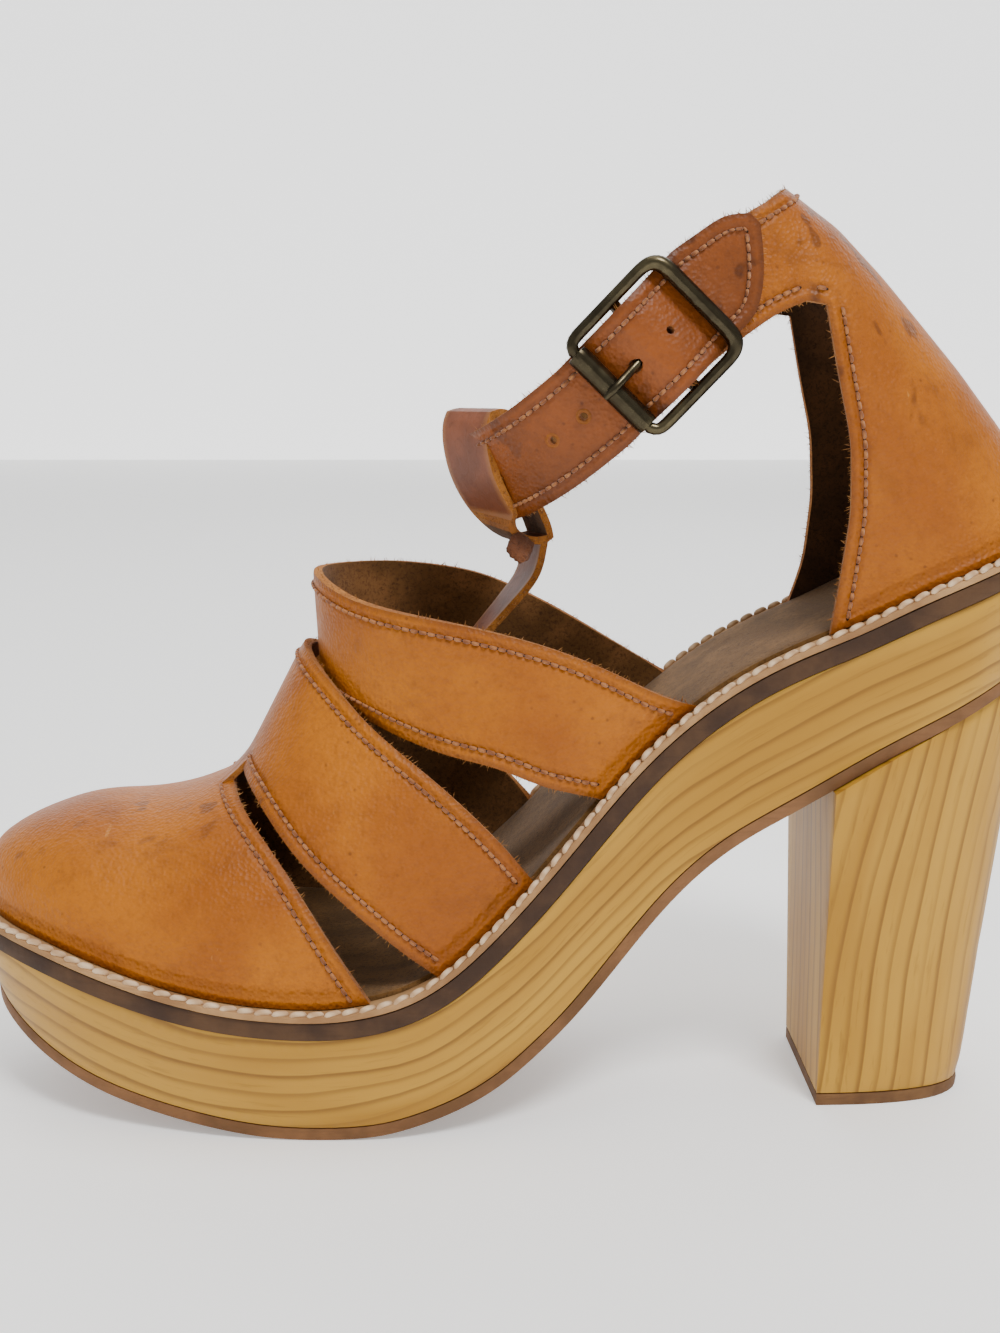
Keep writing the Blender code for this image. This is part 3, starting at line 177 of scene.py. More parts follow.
class Desk:
    """Makes the nodes of one material."""

    def __init__(self, name: str) -> None:
        """Starts a material with a Principled shader.

        Args:
            name: The material's name.
        """
        self.material = bpy.data.materials.new(name)
        self.material.use_nodes = True
        self.tree = self.material.node_tree
        self.shader = self.tree.nodes["Principled BSDF"]

    def node(self, kind: str, settings: dict | None = None, values: dict | None = None,
             out: int | str = 0) -> Wire:
        """Adds one node.

        Args:
            kind: The node's type, without its ShaderNode prefix.
            settings: Properties of the node, set first; stops is a list of ramp stops.
            values: Numbers, colours or wires for its sockets.
            out: Which output is returned.

        Returns:
            The chosen output as a wire.
        """
        made = self.tree.nodes.new("ShaderNode" + kind)
        for key, value in (settings or {}).items():
            if key == "stops":
                ramp = made.color_ramp
                while len(ramp.elements) < len(value):
                    ramp.elements.new(0.5)
                for element, (place, colour) in zip(ramp.elements, value):
                    element.position = place
                    element.color = colour
            else:
                setattr(made, key, value)
        for key, value in (values or {}).items():
            self.put(made.inputs[key], value)
        return Wire(self, made.outputs[out])

    def put(self, socket: bpy.types.NodeSocket, value: Wire | float | tuple) -> None:
        """Links a wire to a socket, or sets a plain value on it."""
        if isinstance(value, Wire):
            self.tree.links.new(value.socket, socket)
        else:
            socket.default_value = value

    def set(self, **values: Wire | float | tuple) -> None:
        """Fills the shader's own sockets; an underscore in a name stands for a space."""
        for key, value in values.items():
            self.put(self.shader.inputs[key.replace("_", " ")], value)

    def place(self, scale: Point = (1, 1, 1), spot: Wire | None = None) -> Wire:
        """Scales the given coordinates, or the object's own where none are given."""
        spot = spot or self.node("TexCoord", out="Object")
        return self.node("Mapping", {}, {"Vector": spot, "Scale": scale})

    def attribute(self, name: str, out: str = "Fac") -> Wire:
        """Reads an attribute of the mesh."""
        return self.node("Attribute", {"attribute_name": name}, out=out)

    def noise(self, scale: float, detail: float = 3.0, rough: float = 0.55,
              where: Wire | None = None, warp: float = 0.0) -> Wire:
        """Gives cloudy noise between 0 and 1.

        Args:
            scale: Cells to the metre.
            detail: How many finer layers are added.
            rough: The strength of the finer layers.
            where: The coordinates, or None for the object's own.
            warp: The noise's own distortion.

        Returns:
            The noise's value.
        """
        return self.node("TexNoise", {}, {"Vector": where or self.place(), "Scale": scale,
                                          "Detail": detail, "Roughness": rough,
                                          "Distortion": warp})

    def cells(self, scale: float) -> Wire:
        """Gives the distance to the nearest cell point."""
        return self.node("TexVoronoi", {}, {"Vector": self.place(), "Scale": scale})

    def mix(self, share: Wire | float, first: Wire | Colour, second: Wire | Colour) -> Wire:
        """Mixes two colours.

        Args:
            share: 0 for the first colour, 1 for the second.
            first: The first colour.
            second: The second colour.

        Returns:
            The mixed colour.
        """
        return self.node("Mix", {"data_type": "RGBA"},
                         {"Factor": share, 6: first, 7: second}, out=2)

    def bump(self, height: Wire, distance: float) -> Wire:
        """Turns a height into a normal.

        Args:
            height: The height, from 0 to 1.
            distance: The depth in metres.

        Returns:
            The bent normal.
        """
        return self.node("Bump", {}, {"Height": height, "Distance": distance, "Strength": 1.0})


@dataclass(frozen=True)
class TanLeather:
    """Waxed tan leather: a soft pull-up look, freckles, a few pale scratches, painted shade by its
    edges.
    """

    name: str = "tan_leather"
    light: str = "B06400"
    mid: str = "954E00"
    dark: str = "683400"
    # The freckles' colour, which also paints the shade along the cut edges and seam grooves.
    fleck: str = "421D02"
    scratch: str = "D59A50"
    roughness: float = 0.36
    crease: float = 0.00030

    def make(self) -> bpy.types.Material:
        """Builds the material."""
        d = Desk(self.name)
        cloud = d.noise(22.0, 4.0, 0.55)
        blotch = d.noise(75.0, 5.0, 0.62, warp=0.4)
        base = d.mix(cloud.step(0.36, 0.62), tone(self.mid), tone(self.light))
        base = d.mix(blotch.step(0.54, 0.76) * 0.42, base, tone(self.dark))
        veil = d.noise(520.0, 4.0, 0.7)
        base = d.mix(veil.step(0.42, 0.72) * 0.24, base, tone(self.dark))
        spots = d.noise(120.0, 2.0, 0.5, d.place((1.0, 1.3, 0.75)))
        fleck = spots.step(0.61, 0.66) * d.noise(14.0, 2.0).step(0.46, 0.58)
        specks = (1.0 - d.cells(330.0).step(0.05, 0.18)) * d.noise(45.0, 2.0).step(0.46, 0.62)
        base = d.mix(fleck * 0.55 + specks * 0.50, base, tone(self.fleck))
        rim = d.attribute(RIM)
        # Painted shade: the leather darkens towards its cut edges.
        lip = 1.0 - rim.step(0.0002, 0.0016)
        base = d.mix(lip * 0.40, base, tone(self.fleck))
        # Painted shade in the seam groove, a band about 1 to 4 mm in from the cut edges.
        band = (1.0 - (rim - 0.0030).step(0.0, 0.0014)) * (rim - 0.0012).step(0.0, 0.0012)
        base = d.mix(band * 0.14, base, tone(self.fleck))
        scratch = (d.noise(1.0, 2.0, 0.5, d.place((620.0, 90.0, 240.0))).step(0.70, 0.74)
                   * d.noise(26.0, 2.0).step(0.55, 0.64))
        base = d.mix(scratch * 0.30, base, tone(self.scratch))
        pores = d.cells(1150.0)
        wrinkle = d.noise(380.0, 4.0, 0.62, warp=0.7)
        creases = d.node("TexNoise", {"noise_type": "RIDGED_MULTIFRACTAL"},
                         {"Vector": d.place((1.0, 1.4, 0.7)), "Scale": 46.0, "Detail": 5.0,
                          "Roughness": 0.6, "Distortion": 0.8})
        height = wrinkle * 0.6 + pores * 0.7 + creases * 0.3 - band * 0.8 - lip * 0.8
        gloss = self.roughness + cloud * 0.14 + wrinkle * 0.16 - fleck * 0.06
        d.set(Base_Color=base, Roughness=gloss, Normal=d.bump(height, self.crease),
              Specular_IOR_Level=0.30, Coat_Weight=0.03, Coat_Roughness=0.35)
        return d.material


@dataclass(frozen=True)
class Suede:
    """A napped flesh side, darker or lighter with the lie of the nap."""

    name: str
    light: str
    mid: str
    dark: str
    nap: float = 0.00016

    def make(self) -> bpy.types.Material:
        """Builds the material."""
        d = Desk(self.name)
        cloud = d.noise(60.0, 4.0, 0.6, warp=0.5)
        fibre = d.noise(1300.0, 4.0, 0.75, warp=0.8)
        clump = d.noise(420.0, 3.0, 0.6)
        base = d.mix(cloud.step(0.38, 0.64), tone(self.mid), tone(self.light))
        base = d.mix(fibre.step(0.46, 0.66) * 0.65, base, tone(self.dark))
        base = d.mix(clump.step(0.58, 0.75) * 0.45, base, tone(self.light))
        height = fibre * 0.6 + clump * 0.5
        d.set(Base_Color=base, Roughness=0.95, Normal=d.bump(height, self.nap),
              Specular_IOR_Level=0.12, Sheen_Weight=0.08, Sheen_Roughness=0.6)
        return d.material


@dataclass(frozen=True)
class LoopLeather:
    """Thin mauve-brown leather, smooth on the band and finely wrinkled at its joint."""

    name: str = "loop_leather"
    light: str = "84492C"
    mid: str = "6B3A22"
    dark: str = "442214"
    rim: str = "A8703C"
    depth: float = 0.00010

    def make(self) -> bpy.types.Material:
        """Builds the material."""
        d = Desk(self.name)
        cloud = d.noise(90.0, 3.0, 0.55)
        wrinkle = d.noise(600.0, 4.0, 0.6, warp=0.9)
        base = d.mix(cloud.step(0.35, 0.65), tone(self.mid), tone(self.light))
        base = d.mix(wrinkle.step(0.52, 0.75) * 0.35, base, tone(self.dark))
        base = d.mix((1.0 - d.attribute(RIM).step(0.0002, 0.0018)) * 0.5, base, tone(self.rim))
        d.set(Base_Color=base, Roughness=0.45 + wrinkle * 0.12,
              Normal=d.bump(wrinkle, self.depth), Specular_IOR_Level=0.4)
        return d.material


@dataclass(frozen=True)
class Pine:
    """Pale pine, oiled, with brown growth lines and short pores along the grain."""

    name: str
    run: GrainRun
    light: str = "BA8C2E"
    mid: str = "A5761F"
    line: str = "62380C"
    ring_pitch: float = 0.0046
    sway: float = 3.4
    depth: float = 0.00006

    def make(self) -> bpy.types.Material:
        """Builds the material."""
        d = Desk(self.name)
        flow = d.attribute(GRAIN, "Vector")
        sway = d.noise(1.0, 2.0, 0.5, d.place((11.0, 18.0, 30.0), flow))
        parts = d.node("SeparateXYZ", {}, {"Vector": flow})
        across = Wire(d, parts.socket.node.outputs["Y"])
        depth = Wire(d, parts.socket.node.outputs["Z"])
        ring = (across * across + depth * depth) ** 0.5
        level = ring / self.ring_pitch + sway * self.sway
        phase = d.node("Math", {"operation": "FRACT"}, {0: level})
        count = d.node("Math", {"operation": "FLOOR"}, {0: level})
        year = d.node("TexWhiteNoise", {"noise_dimensions": "1D"}, {"W": count})
        late = phase.step(0.42, 0.90) ** 2.0 * (1.0 - phase.step(0.91, 1.0))
        pores = d.noise(1.0, 3.0, 0.6, d.place((45.0, 900.0, 900.0), flow))
        tint = d.noise(1.0, 2.0, 0.5, d.place((12.0, 60.0, 60.0), flow))
        base = d.mix(tint.step(0.35, 0.65), tone(self.mid), tone(self.light))
        strength = 0.10 + year * 0.44 + tint * 0.24
        base = d.mix(late * strength, base, tone(self.line))
        base = d.mix(pores.step(0.56, 0.72) * 0.22, base, tone(self.line))
        height = pores * 0.5 - late * 0.12
        d.set(Base_Color=base, Roughness=0.42 + pores * 0.15,
              Normal=d.bump(height, self.depth), Specular_IOR_Level=0.28,
              Coat_Weight=0.04, Coat_Roughness=0.3)
        return d.material


@dataclass(frozen=True)
class LayerEdge:
    """The rubbed edge of a stacked leather or board layer."""

    name: str
    light: str
    dark: str
    roughness: float = 0.6
    streak: Point = (60.0, 60.0, 700.0)
    depth: float = 0.00010

    def make(self) -> bpy.types.Material:
        """Builds the material."""
        d = Desk(self.name)
        streaks = d.noise(1.0, 4.0, 0.6, d.place(self.streak))
        cloud = d.noise(55.0, 4.0, 0.6)
        grit = d.noise(1100.0, 3.0, 0.6)
        base = d.mix(cloud.step(0.35, 0.66), tone(self.dark), tone(self.light))
        base = d.mix(streaks.step(0.5, 0.72) * 0.4, base, tone(self.dark))
        d.set(Base_Color=base, Roughness=self.roughness + grit * 0.15,
              Normal=d.bump(streaks * 0.6 + grit * 0.4, self.depth),
              Specular_IOR_Level=0.3)
        return d.material


@dataclass(frozen=True)
class Thread:
    """Twisted sewing thread; the wave's scale is its twist divided by its bands."""

    name: str
    light: str
    dark: str
    twist: float = 2600.0
    bands: float = 12.0
    depth: float = 0.00006

    def make(self) -> bpy.types.Material:
        """Builds the material."""
        d = Desk(self.name)
        strand = d.node("TexWave", {"bands_direction": "DIAGONAL"},
                        {"Vector": d.place(), "Scale": self.twist / self.bands, "Distortion": 1.5})
        strand = Wire(d, strand.socket.node.outputs["Fac"])
        cloud = d.noise(300.0, 3.0, 0.6)
        base = d.mix(strand * 0.6 + cloud * 0.4, tone(self.dark), tone(self.light))
        d.set(Base_Color=base, Roughness=0.6 + cloud * 0.2,
              Normal=d.bump(strand, self.depth), Sheen_Weight=0.2, Specular_IOR_Level=0.3)
        return d.material


@dataclass(frozen=True)
class AntiqueBrass:
    """Darkened brass, rubbed bright in patches."""

    name: str = "antique_brass"
    bright: str = "7B7052"
    mid: str = "474030"
    dark: str = "272119"
    depth: float = 0.00002

    def make(self) -> bpy.types.Material:
        """Builds the material."""
        d = Desk(self.name)
        cloud = d.noise(240.0, 5.0, 0.65, warp=0.4)
        rub = d.noise(90.0, 3.0, 0.6)
        scratch = d.noise(1.0, 2.0, 0.5, d.place((260.0, 900.0, 260.0)))
        base = d.mix(cloud.step(0.30, 0.70) * 0.6, tone(self.mid), tone(self.dark))
        base = d.mix(rub.step(0.46, 0.70) * 0.45, base, tone(self.bright))
        d.set(Base_Color=base, Metallic=0.97, Roughness=0.20 + cloud * 0.16,
              Normal=d.bump(cloud * 0.4 + scratch * 0.6, self.depth))
        return d.material


@dataclass(frozen=True)
class Plain:
    """A quiet surface with a light mottle, for the needle holes' painted shade and the studio
    floor.
    """

    name: str
    light: str
    dark: str
    roughness: float = 0.8
    glow: float = 0.0

    def make(self) -> bpy.types.Material:
        """Builds the material."""
        d = Desk(self.name)
        cloud = d.noise(30.0, 2.0, 0.5)
        if self.glow:
            d.set(Emission_Color=tone(self.light), Emission_Strength=self.glow)
        d.set(Base_Color=d.mix(cloud, tone(self.dark), tone(self.light)),
              Roughness=self.roughness, Specular_IOR_Level=0.2)
        return d.material


Finish = TanLeather | Suede | LoopLeather | Pine | LayerEdge | Thread | AntiqueBrass | Plain


@dataclass
class Wardrobe:
    """Every finish of the shoe, made once."""

    made: dict[str, bpy.types.Material] = field(default_factory=dict)

    def get(self, finish: Finish) -> bpy.types.Material:
        """Returns a finish's material, making it the first time."""
        if finish.name not in self.made:
            self.made[finish.name] = finish.make()
        return self.made[finish.name]


TAN = TanLeather()
# Tan leather for the ankle strap: smoother, and darker as painted shade, for the strap lies in
# shade.
TAN_SHADED = TanLeather("tan_leather_shaded", light="8A460F", mid="6E3606", dark="481F04",
                      fleck="351603", roughness=0.30, crease=0.00018)
DARK_LINING = Suede("counter_lining", "4E3119", "3A2412", "1F1208")
LINING = Suede("flesh_side", "7E5630", "60401F", "321D0D")
RAW_EDGE = Suede("raw_edge", "AE7030", "925824", "5A3212", 0.00024)
INSOLE = Suede("insole_suede", "7C5930", "634521", "3A2610", 0.00018)
LOOP = LoopLeather()
LOOP_JOINT = Suede("loop_joint", "7C4C30", "5F3721", "3A1F11", 0.00030)
SOLE_PINE = Pine("pine_platform", GrainRun.ALONG_SOLE)
HEEL_PINE = Pine("pine_heel", GrainRun.UP_HEEL, ring_pitch=0.0038, sway=1.6)
BOARD = LayerEdge("midsole_edge", "523821", "362214")
WELT = LayerEdge("welt_strip", "B28A5C", "8C6540", 0.7)
OUTSOLE = LayerEdge("outsole_edge", "805836", "634326", 0.6)
TOP_LIFT = LayerEdge("top_lift_edge", "7A5734", "573B24", 0.65)
SEAM_THREAD = Thread("seam_thread", "AE7240", "66341A")
WELT_THREAD = Thread("welt_thread", "DCC09C", "A88058", 1500.0)
FIBRE = Suede("loose_fibre", "BE8446", "9A642C", "64391A")
# Painted shade: the dark inside of each needle hole, laid on the leather as a small dimple.
NEEDLE_HOLE_SHADE = Plain("needle_hole_shade", "3A2112", "24140B")
BRASS = AntiqueBrass()
FLOOR = Plain("studio_floor", "FAFAF9", "F8F8F7", 0.9, 0.34)
BACKDROP = Plain("studio_backdrop", "FFFFFF", "FDFDFD", 0.9, 1.12)
# The two spare holes between the buckle and the loop, in metres.
SPARE_HOLE_PLACES = ((0.0167, -0.0305, 0.1519), (0.0107, -0.0274, 0.1471))


def alone(obj: bpy.types.Object) -> None:
    """Selects one object and makes it active."""
    bpy.ops.object.select_all(action="DESELECT")
    obj.select_set(True)
    bpy.context.view_layer.objects.active = obj


def added(primitive: Callable, **sizes: float | Point) -> bpy.types.Object:
    """Adds one primitive with nothing else selected.

    Args:
        primitive: The operator that adds it.
        **sizes: What the operator is given.

    Returns:
        The new object.
    """
    bpy.ops.object.select_all(action="DESELECT")
    primitive(**sizes)
    return bpy.context.active_object


def copy_of(frame: dict, node: str, name: str) -> bpy.types.Object:
    """Copies a CAD node into a new piece whose doubled points are merged.

    Args:
        node: The CAD node's name.
        name: The new piece's name.

    Returns:
        The new piece, which stands for the node.
    """
    source = frame["nodes"][node]
    obj = bpy.data.objects.new(name, source.data.copy())
    bpy.context.scene.collection.objects.link(obj)
    obj.data.materials.clear()
    alone(obj)
    bpy.ops.object.mode_set(mode="EDIT")
    bpy.ops.mesh.customdata_custom_splitnormals_clear()
    bpy.ops.mesh.select_all(action="SELECT")
    bpy.ops.mesh.remove_doubles(threshold=WELD)
    bpy.ops.mesh.select_all(action="DESELECT")
    bpy.ops.object.mode_set(mode="OBJECT")
    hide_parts(node)
    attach(obj, BODY)
    return obj


def finish_with(obj: bpy.types.Object, materials: list[bpy.types.Material]) -> None:
    """Gives a piece its materials, in the order of its slots."""
    places = np.zeros(len(obj.data.polygons), np.int32)
    obj.data.polygons.foreach_get("material_index", places)
    obj.data.materials.clear()
    for item in materials:
        obj.data.materials.append(item)
    obj.data.polygons.foreach_set("material_index", np.minimum(places, len(materials) - 1))
    obj.data.update()


def mark_sides(obj: bpy.types.Object, facing: Callable[[Vector, Vector], float],
               crease: float = 30.0, strip: float = 0.0026) -> None:
    """Sorts a sheet's faces into outer side, inner side and cut edge.

    Faces are gathered into patches that sharp edges bound, and a patch is sorted as one.

    Args:
        obj: The piece.
        facing: Gives 1 for a point and normal that face out, -1 for in.
        crease: Degrees above which an edge is sharp.
        strip: A patch narrower than this, in metres, is a cut edge.
    """
    bm = bmesh.new()
    bm.from_mesh(obj.data)
    limit = math.radians(crease)
    seen: set[int] = set()
    bm.faces.ensure_lookup_table()
    for start in bm.faces:
        if start.index in seen:
            continue
        patch = [start]
        seen.add(start.index)
        for face in patch:
            for edge in face.edges:
                if len(edge.link_faces) != 2 or edge.calc_face_angle(0.0) > limit:
                    continue
                for other in edge.link_faces:
                    if other.index not in seen:
                        seen.add(other.index)
                        patch.append(other)
        area = sum(f.calc_area() for f in patch)
        inside = {f.index for f in patch}
        border = sum(e.calc_length() for f in patch for e in f.edges
                     if any(g.index not in inside for g in e.link_faces))
        total = sum(facing(f.calc_center_median(), f.normal) * f.calc_area() for f in patch)
        side = Side.OUTER if total > 0 else Side.INNER
        if border > 0 and 2 * area / border < strip:
            side = Side.EDGE
        for face in patch:
            face.material_index = int(side)
    bm.to_mesh(obj.data)
    bm.free()


def refine(obj: bpy.types.Object, longest: float, passes: int = 7) -> None:
    """Cuts every edge longer than a limit in half, over and over.

    Args:
        obj: The piece.
        longest: The limit in metres.
        passes: The most rounds.
    """
    alone(obj)
    bpy.ops.object.mode_set(mode="EDIT")
    bpy.ops.mesh.select_mode(type="EDGE")
    for _ in range(passes):
        bpy.ops.mesh.select_all(action="DESELECT")
        bm = bmesh.from_edit_mesh(obj.data)
        long_edges = [e for e in bm.edges if e.calc_length() > longest]
        if not long_edges:
            break
        for edge in long_edges:
            edge.select = True
        bmesh.update_edit_mesh(obj.data)
        bpy.ops.mesh.subdivide(number_cuts=1)
        bpy.ops.mesh.select_all(action="SELECT")
        bpy.ops.mesh.quads_convert_to_tris(quad_method="SHORTEST_DIAGONAL")
    bpy.ops.mesh.select_all(action="DESELECT")
    bpy.ops.object.mode_set(mode="OBJECT")


def relax(obj: bpy.types.Object, rounds: int = 12, crease: float = 32.0,
          corner: float = 35.0) -> None:
    """Fairs a faceted surface: inner points move to their neighbours' mean, sharp lines fair along
    themselves, and corners stay.

    Args:
        obj: The piece.
        rounds: How often the points move.
        crease: Degrees above which an edge is a sharp line.
        corner: Degrees of turn above which a point of a sharp line stays.
    """
    bm = bmesh.new()
    bm.from_mesh(obj.data)
    bm.verts.ensure_lookup_table()
    limit = math.radians(crease)
    count = len(bm.verts)
    pairs: list[tuple[int, int]] = []
    fixed = np.zeros(count, bool)
    for vert in bm.verts:
        sharp = [e.other_vert(vert) for e in vert.link_edges
                 if e.calc_face_angle(NO_ANGLE) > limit]
        if not sharp:
            pairs.extend((vert.index, e.other_vert(vert).index) for e in vert.link_edges)
            continue
        if len(sharp) == 2:
            first = (sharp[0].co - vert.co).normalized()
            second = (vert.co - sharp[1].co).normalized()
            whole = first.length > 0 and second.length > 0
            if whole and first.angle(second, NO_ANGLE) < math.radians(corner):
                pairs.extend((vert.index, s.index) for s in sharp)
                continue
        fixed[vert.index] = True
    points = np.array([v.co for v in bm.verts], float)
    bm.free()
    link = np.array(pairs, int)
    weight = np.bincount(link[:, 0], minlength=count).astype(float)
    weight[weight == 0] = 1.0
    for _ in range(rounds):
        mean = np.zeros_like(points)
        for axis in range(3):
            mean[:, axis] = np.bincount(link[:, 0], points[link[:, 1], axis], minlength=count)
        mean /= weight[:, None]
        move = (mean - points) * 0.5
        move[fixed] = 0.0
        points += move
    obj.data.vertices.foreach_set("co", points.astype(np.float32).ravel())
    obj.data.update()


@dataclass
class RimLine:
    """One cut line of a sheet's outer side, as points with the way in from it."""

    points: np.ndarray
    inward: np.ndarray
    closed: bool

    def spaced(self, pitch: float) -> list[tuple[Vector, Vector]]:
        """Walks the line at an even pitch.

        Args:
            pitch: Metres between steps.

        Returns:
            Each step's point and its way in.
        """
        pts, ways = self.points, self.inward
        if self.closed:
            pts = np.vstack([pts, pts[:1]])
            ways = np.vstack([ways, ways[:1]])
        run = np.concatenate([[0.0], np.cumsum(np.linalg.norm(np.diff(pts, axis=0), axis=1))])
        steps = max(2, int(round(run[-1] / pitch)))
        at = np.linspace(0.0, run[-1], steps + 1)
        place = np.column_stack([np.interp(at, run, pts[:, k]) for k in range(3)])
        way = np.column_stack([np.interp(at, run, ways[:, k]) for k in range(3)])
        return [(Vector(p), Vector(w).normalized()) for p, w in zip(place, way)]


def rim_lines(obj: bpy.types.Object, shortest: float = 0.012) -> list[RimLine]:
    """Finds the lines where a sheet's outer side meets its cut edge.

    Args:
        obj: A piece whose sides are marked.
        shortest: Lines shorter than this, in metres, are left out.

    Returns:
        The lines, in order along each.
    """
    bm = bmesh.new()
    bm.from_mesh(obj.data)
    near: dict[int, list[int]] = {}
    way_in: dict[int, Vector] = {}
    for edge in bm.edges:
        if len(edge.link_faces) != 2:
            continue
        kinds = {f.material_index for f in edge.link_faces}
        if kinds != {int(Side.OUTER), int(Side.EDGE)} or not edge.is_convex:
            continue
        outer = [f for f in edge.link_faces if f.material_index == int(Side.OUTER)][0]
        a, b = edge.verts
        along = (b.co - a.co).normalized()
        into = outer.calc_center_median() - (a.co + b.co) / 2
        into -= along * into.dot(along)
        into -= outer.normal * into.dot(outer.normal)
        into.normalize()
        for one, two in ((a, b), (b, a)):
            near.setdefault(one.index, []).append(two.index)
            way_in[one.index] = way_in.get(one.index, Vector()) + into
    bm.verts.ensure_lookup_table()
    places = {i: bm.verts[i].co.copy() for i in near}
    bm.free()
    lines: list[RimLine] = []
    used: set[tuple[int, int]] = set()

    def walk(start: int, nxt: int) -> list[int]:
        """Follows the line from one point until it ends, forks or closes."""
        out = [start, nxt]
        used.add((start, nxt))
        used.add((nxt, start))
        while len(near[out[-1]]) == 2 and out[-1] != start:
            step = [n for n in near[out[-1]] if (out[-1], n) not in used]
            if not step:
                break
            used.add((out[-1], step[0]))
            used.add((step[0], out[-1]))
            out.append(step[0])
        return out

    starts = sorted(near, key=lambda i: (len(near[i]) == 2, i))
    for start in starts:
        for nxt in near[start]:
            if (start, nxt) in used:
                continue
            order = walk(start, nxt)
            closed = order[0] == order[-1]
            if closed:
                order = order[:-1]
            pts = np.array([places[i] for i in order], float)
            ways = np.array([way_in[i].normalized() for i in order], float)
            if len(pts) < 3 or np.linalg.norm(np.diff(pts, axis=0), axis=1).sum() < shortest:
                continue
            lines.append(RimLine(pts, ways, closed))
    return lines


def write_rim(obj: bpy.types.Object, lines: list[RimLine]) -> None:
    """Stores each point's distance from the nearest cut line as an attribute.

    Args:
        obj: The piece.
        lines: Its cut lines.
    """
    spots = [p for line in lines for p, _ in line.spaced(0.0006)]
    tree = KDTree(max(1, len(spots)))
    for index, spot in enumerate(spots):
        tree.insert(spot, index)
    tree.balance()
    gap = [tree.find(v.co)[2] if spots else 1.0 for v in obj.data.vertices]
    layer = obj.data.attributes.new(RIM, "FLOAT", "POINT")
    layer.data.foreach_set("value", np.array(gap, np.float32))


def search_tree(mesh: bpy.types.Mesh, side: Side | None = None) -> BVHTree:
    """Builds a search tree of a mesh's faces.

    Args:
        mesh: The mesh.
        side: The kind of face that is wanted, or None for every face.

    Returns:
        The tree.
    """
    faces = [tuple(p.vertices) for p in mesh.polygons
             if side is None or p.material_index == side]
    return BVHTree.FromPolygons([v.co.copy() for v in mesh.vertices], faces)


def soften(obj: bpy.types.Object, width: float, angle: float = 38.0, segments: int = 2) -> None:
    """Rounds a piece's sharp edges and shades it smooth.

    Args:
        obj: The piece.
        width: The rounding in metres.
        angle: Degrees above which an edge is rounded.
        segments: Faces across the rounding.
    """
    alone(obj)
    bevel = obj.modifiers.new("rounding", "BEVEL")
    bevel.width = width
    bevel.segments = segments
    bevel.limit_method = "ANGLE"
    bevel.angle_limit = math.radians(angle)
    bevel.use_clamp_overlap = True
    bevel.harden_normals = False
    bpy.ops.object.modifier_apply(modifier=bevel.name)
    bpy.ops.object.shade_smooth_by_angle(angle=math.radians(SMOOTH_ANGLE))


def sown(name: str, template: bpy.types.Object, spots: list[Spot],
         material: bpy.types.Material) -> bpy.types.Object:
    """Sets copies of one small form along a seam and joins them in one piece.

    Args:
        name: The piece's name.
        template: The form, along X with Z up, centred on the origin; it is removed.
        spots: A place, a direction, a way up and a size for each copy.
        material: The piece's finish.

    Returns:
        The joined piece.
    """
    form = np.array([v.co for v in template.data.vertices], float)
    faces = [list(p.vertices) for p in template.data.polygons]
    points: list[np.ndarray] = []
    every: list[list[int]] = []
    for place, along, up, size in spots:
        x = along.normalized()
        y = up.cross(x).normalized()
        z = x.cross(y)
        turn = np.array([x, y, z], float)
        start = len(points) * len(form)
        points.append(form * size @ turn + np.array(place, float))
        every.extend([start + i for i in f] for f in faces)
    mesh = bpy.data.meshes.new(name)
    mesh.from_pydata(np.vstack(points).tolist(), [], every)
    obj = bpy.data.objects.new(name, mesh)
    bpy.context.scene.collection.objects.link(obj)
    bpy.data.objects.remove(template)
    finish_with(obj, [material])
    for polygon in mesh.polygons:
        polygon.use_smooth = True
    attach(obj, BODY)
    return obj


def thread_form(length: float, thick: float, arch: float, rings: int = 7,
                sides: int = 6) -> bpy.types.Object:
    """Models one stitch: a rounded strand that arches out and dips at both ends.

    Args:
        length: From end to end.
        thick: The strand's thickness.
        arch: How far its middle stands over its ends.
        rings: Rings along it.
        sides: Sides round it.

    Returns:
        The strand along X, with Z up.
    """
    obj = added(bpy.ops.mesh.primitive_uv_sphere_add, segments=sides, ring_count=rings,
                radius=1.0, rotation=(0.0, math.pi / 2, 0.0))
    bpy.ops.object.transform_apply(location=True, rotation=True, scale=True)
    for vert in obj.data.vertices:
        share = vert.co.x
        full = max(1e-6, 1.0 - share * share)
        plump = min((1.0 - share ** 6) / full ** 0.5 if full > 1e-4 else 1.0, 2.0)
        vert.co.x = share * length / 2
        vert.co.y *= thick / 2 * plump
        vert.co.z = vert.co.z * thick / 2 * plump + arch * (1.0 - share * share)
    return obj


def clamp(value: float, low: float, high: float) -> float:
    """Keeps a value between two ends."""
    return min(max(value, low), high)


def smooth(value: float, low: float, high: float) -> float:
    """Gives 0 at the low end and 1 at the high end, with soft ends.

    Args:
        value: What is measured.
        low: Where the rise starts.
        high: Where it ends; it may be less than the low end.

    Returns:
        The share of the rise.
    """
    share = clamp((value - low) / (high - low), 0.0, 1.0)
    return share * share * (3.0 - 2.0 * share)


def hole_form(radius: float, breadth: float = 0.8, depth: float = 0.22) -> bpy.types.Object:
    """Models one needle hole as a low dimple, which carries the hole's painted shade.

    Args:
        radius: Half its length.
        breadth: Its breadth as a share of its length.
        depth: Its depth as a share of its length.

    Returns:
        The dimple.
    """
    obj = added(bpy.ops.mesh.primitive_ico_sphere_add, subdivisions=1, radius=1.0)
    for vert in obj.data.vertices:
        vert.co = Vector((vert.co.x * radius, vert.co.y * radius * breadth,
                          vert.co.z * radius * depth))
    return obj


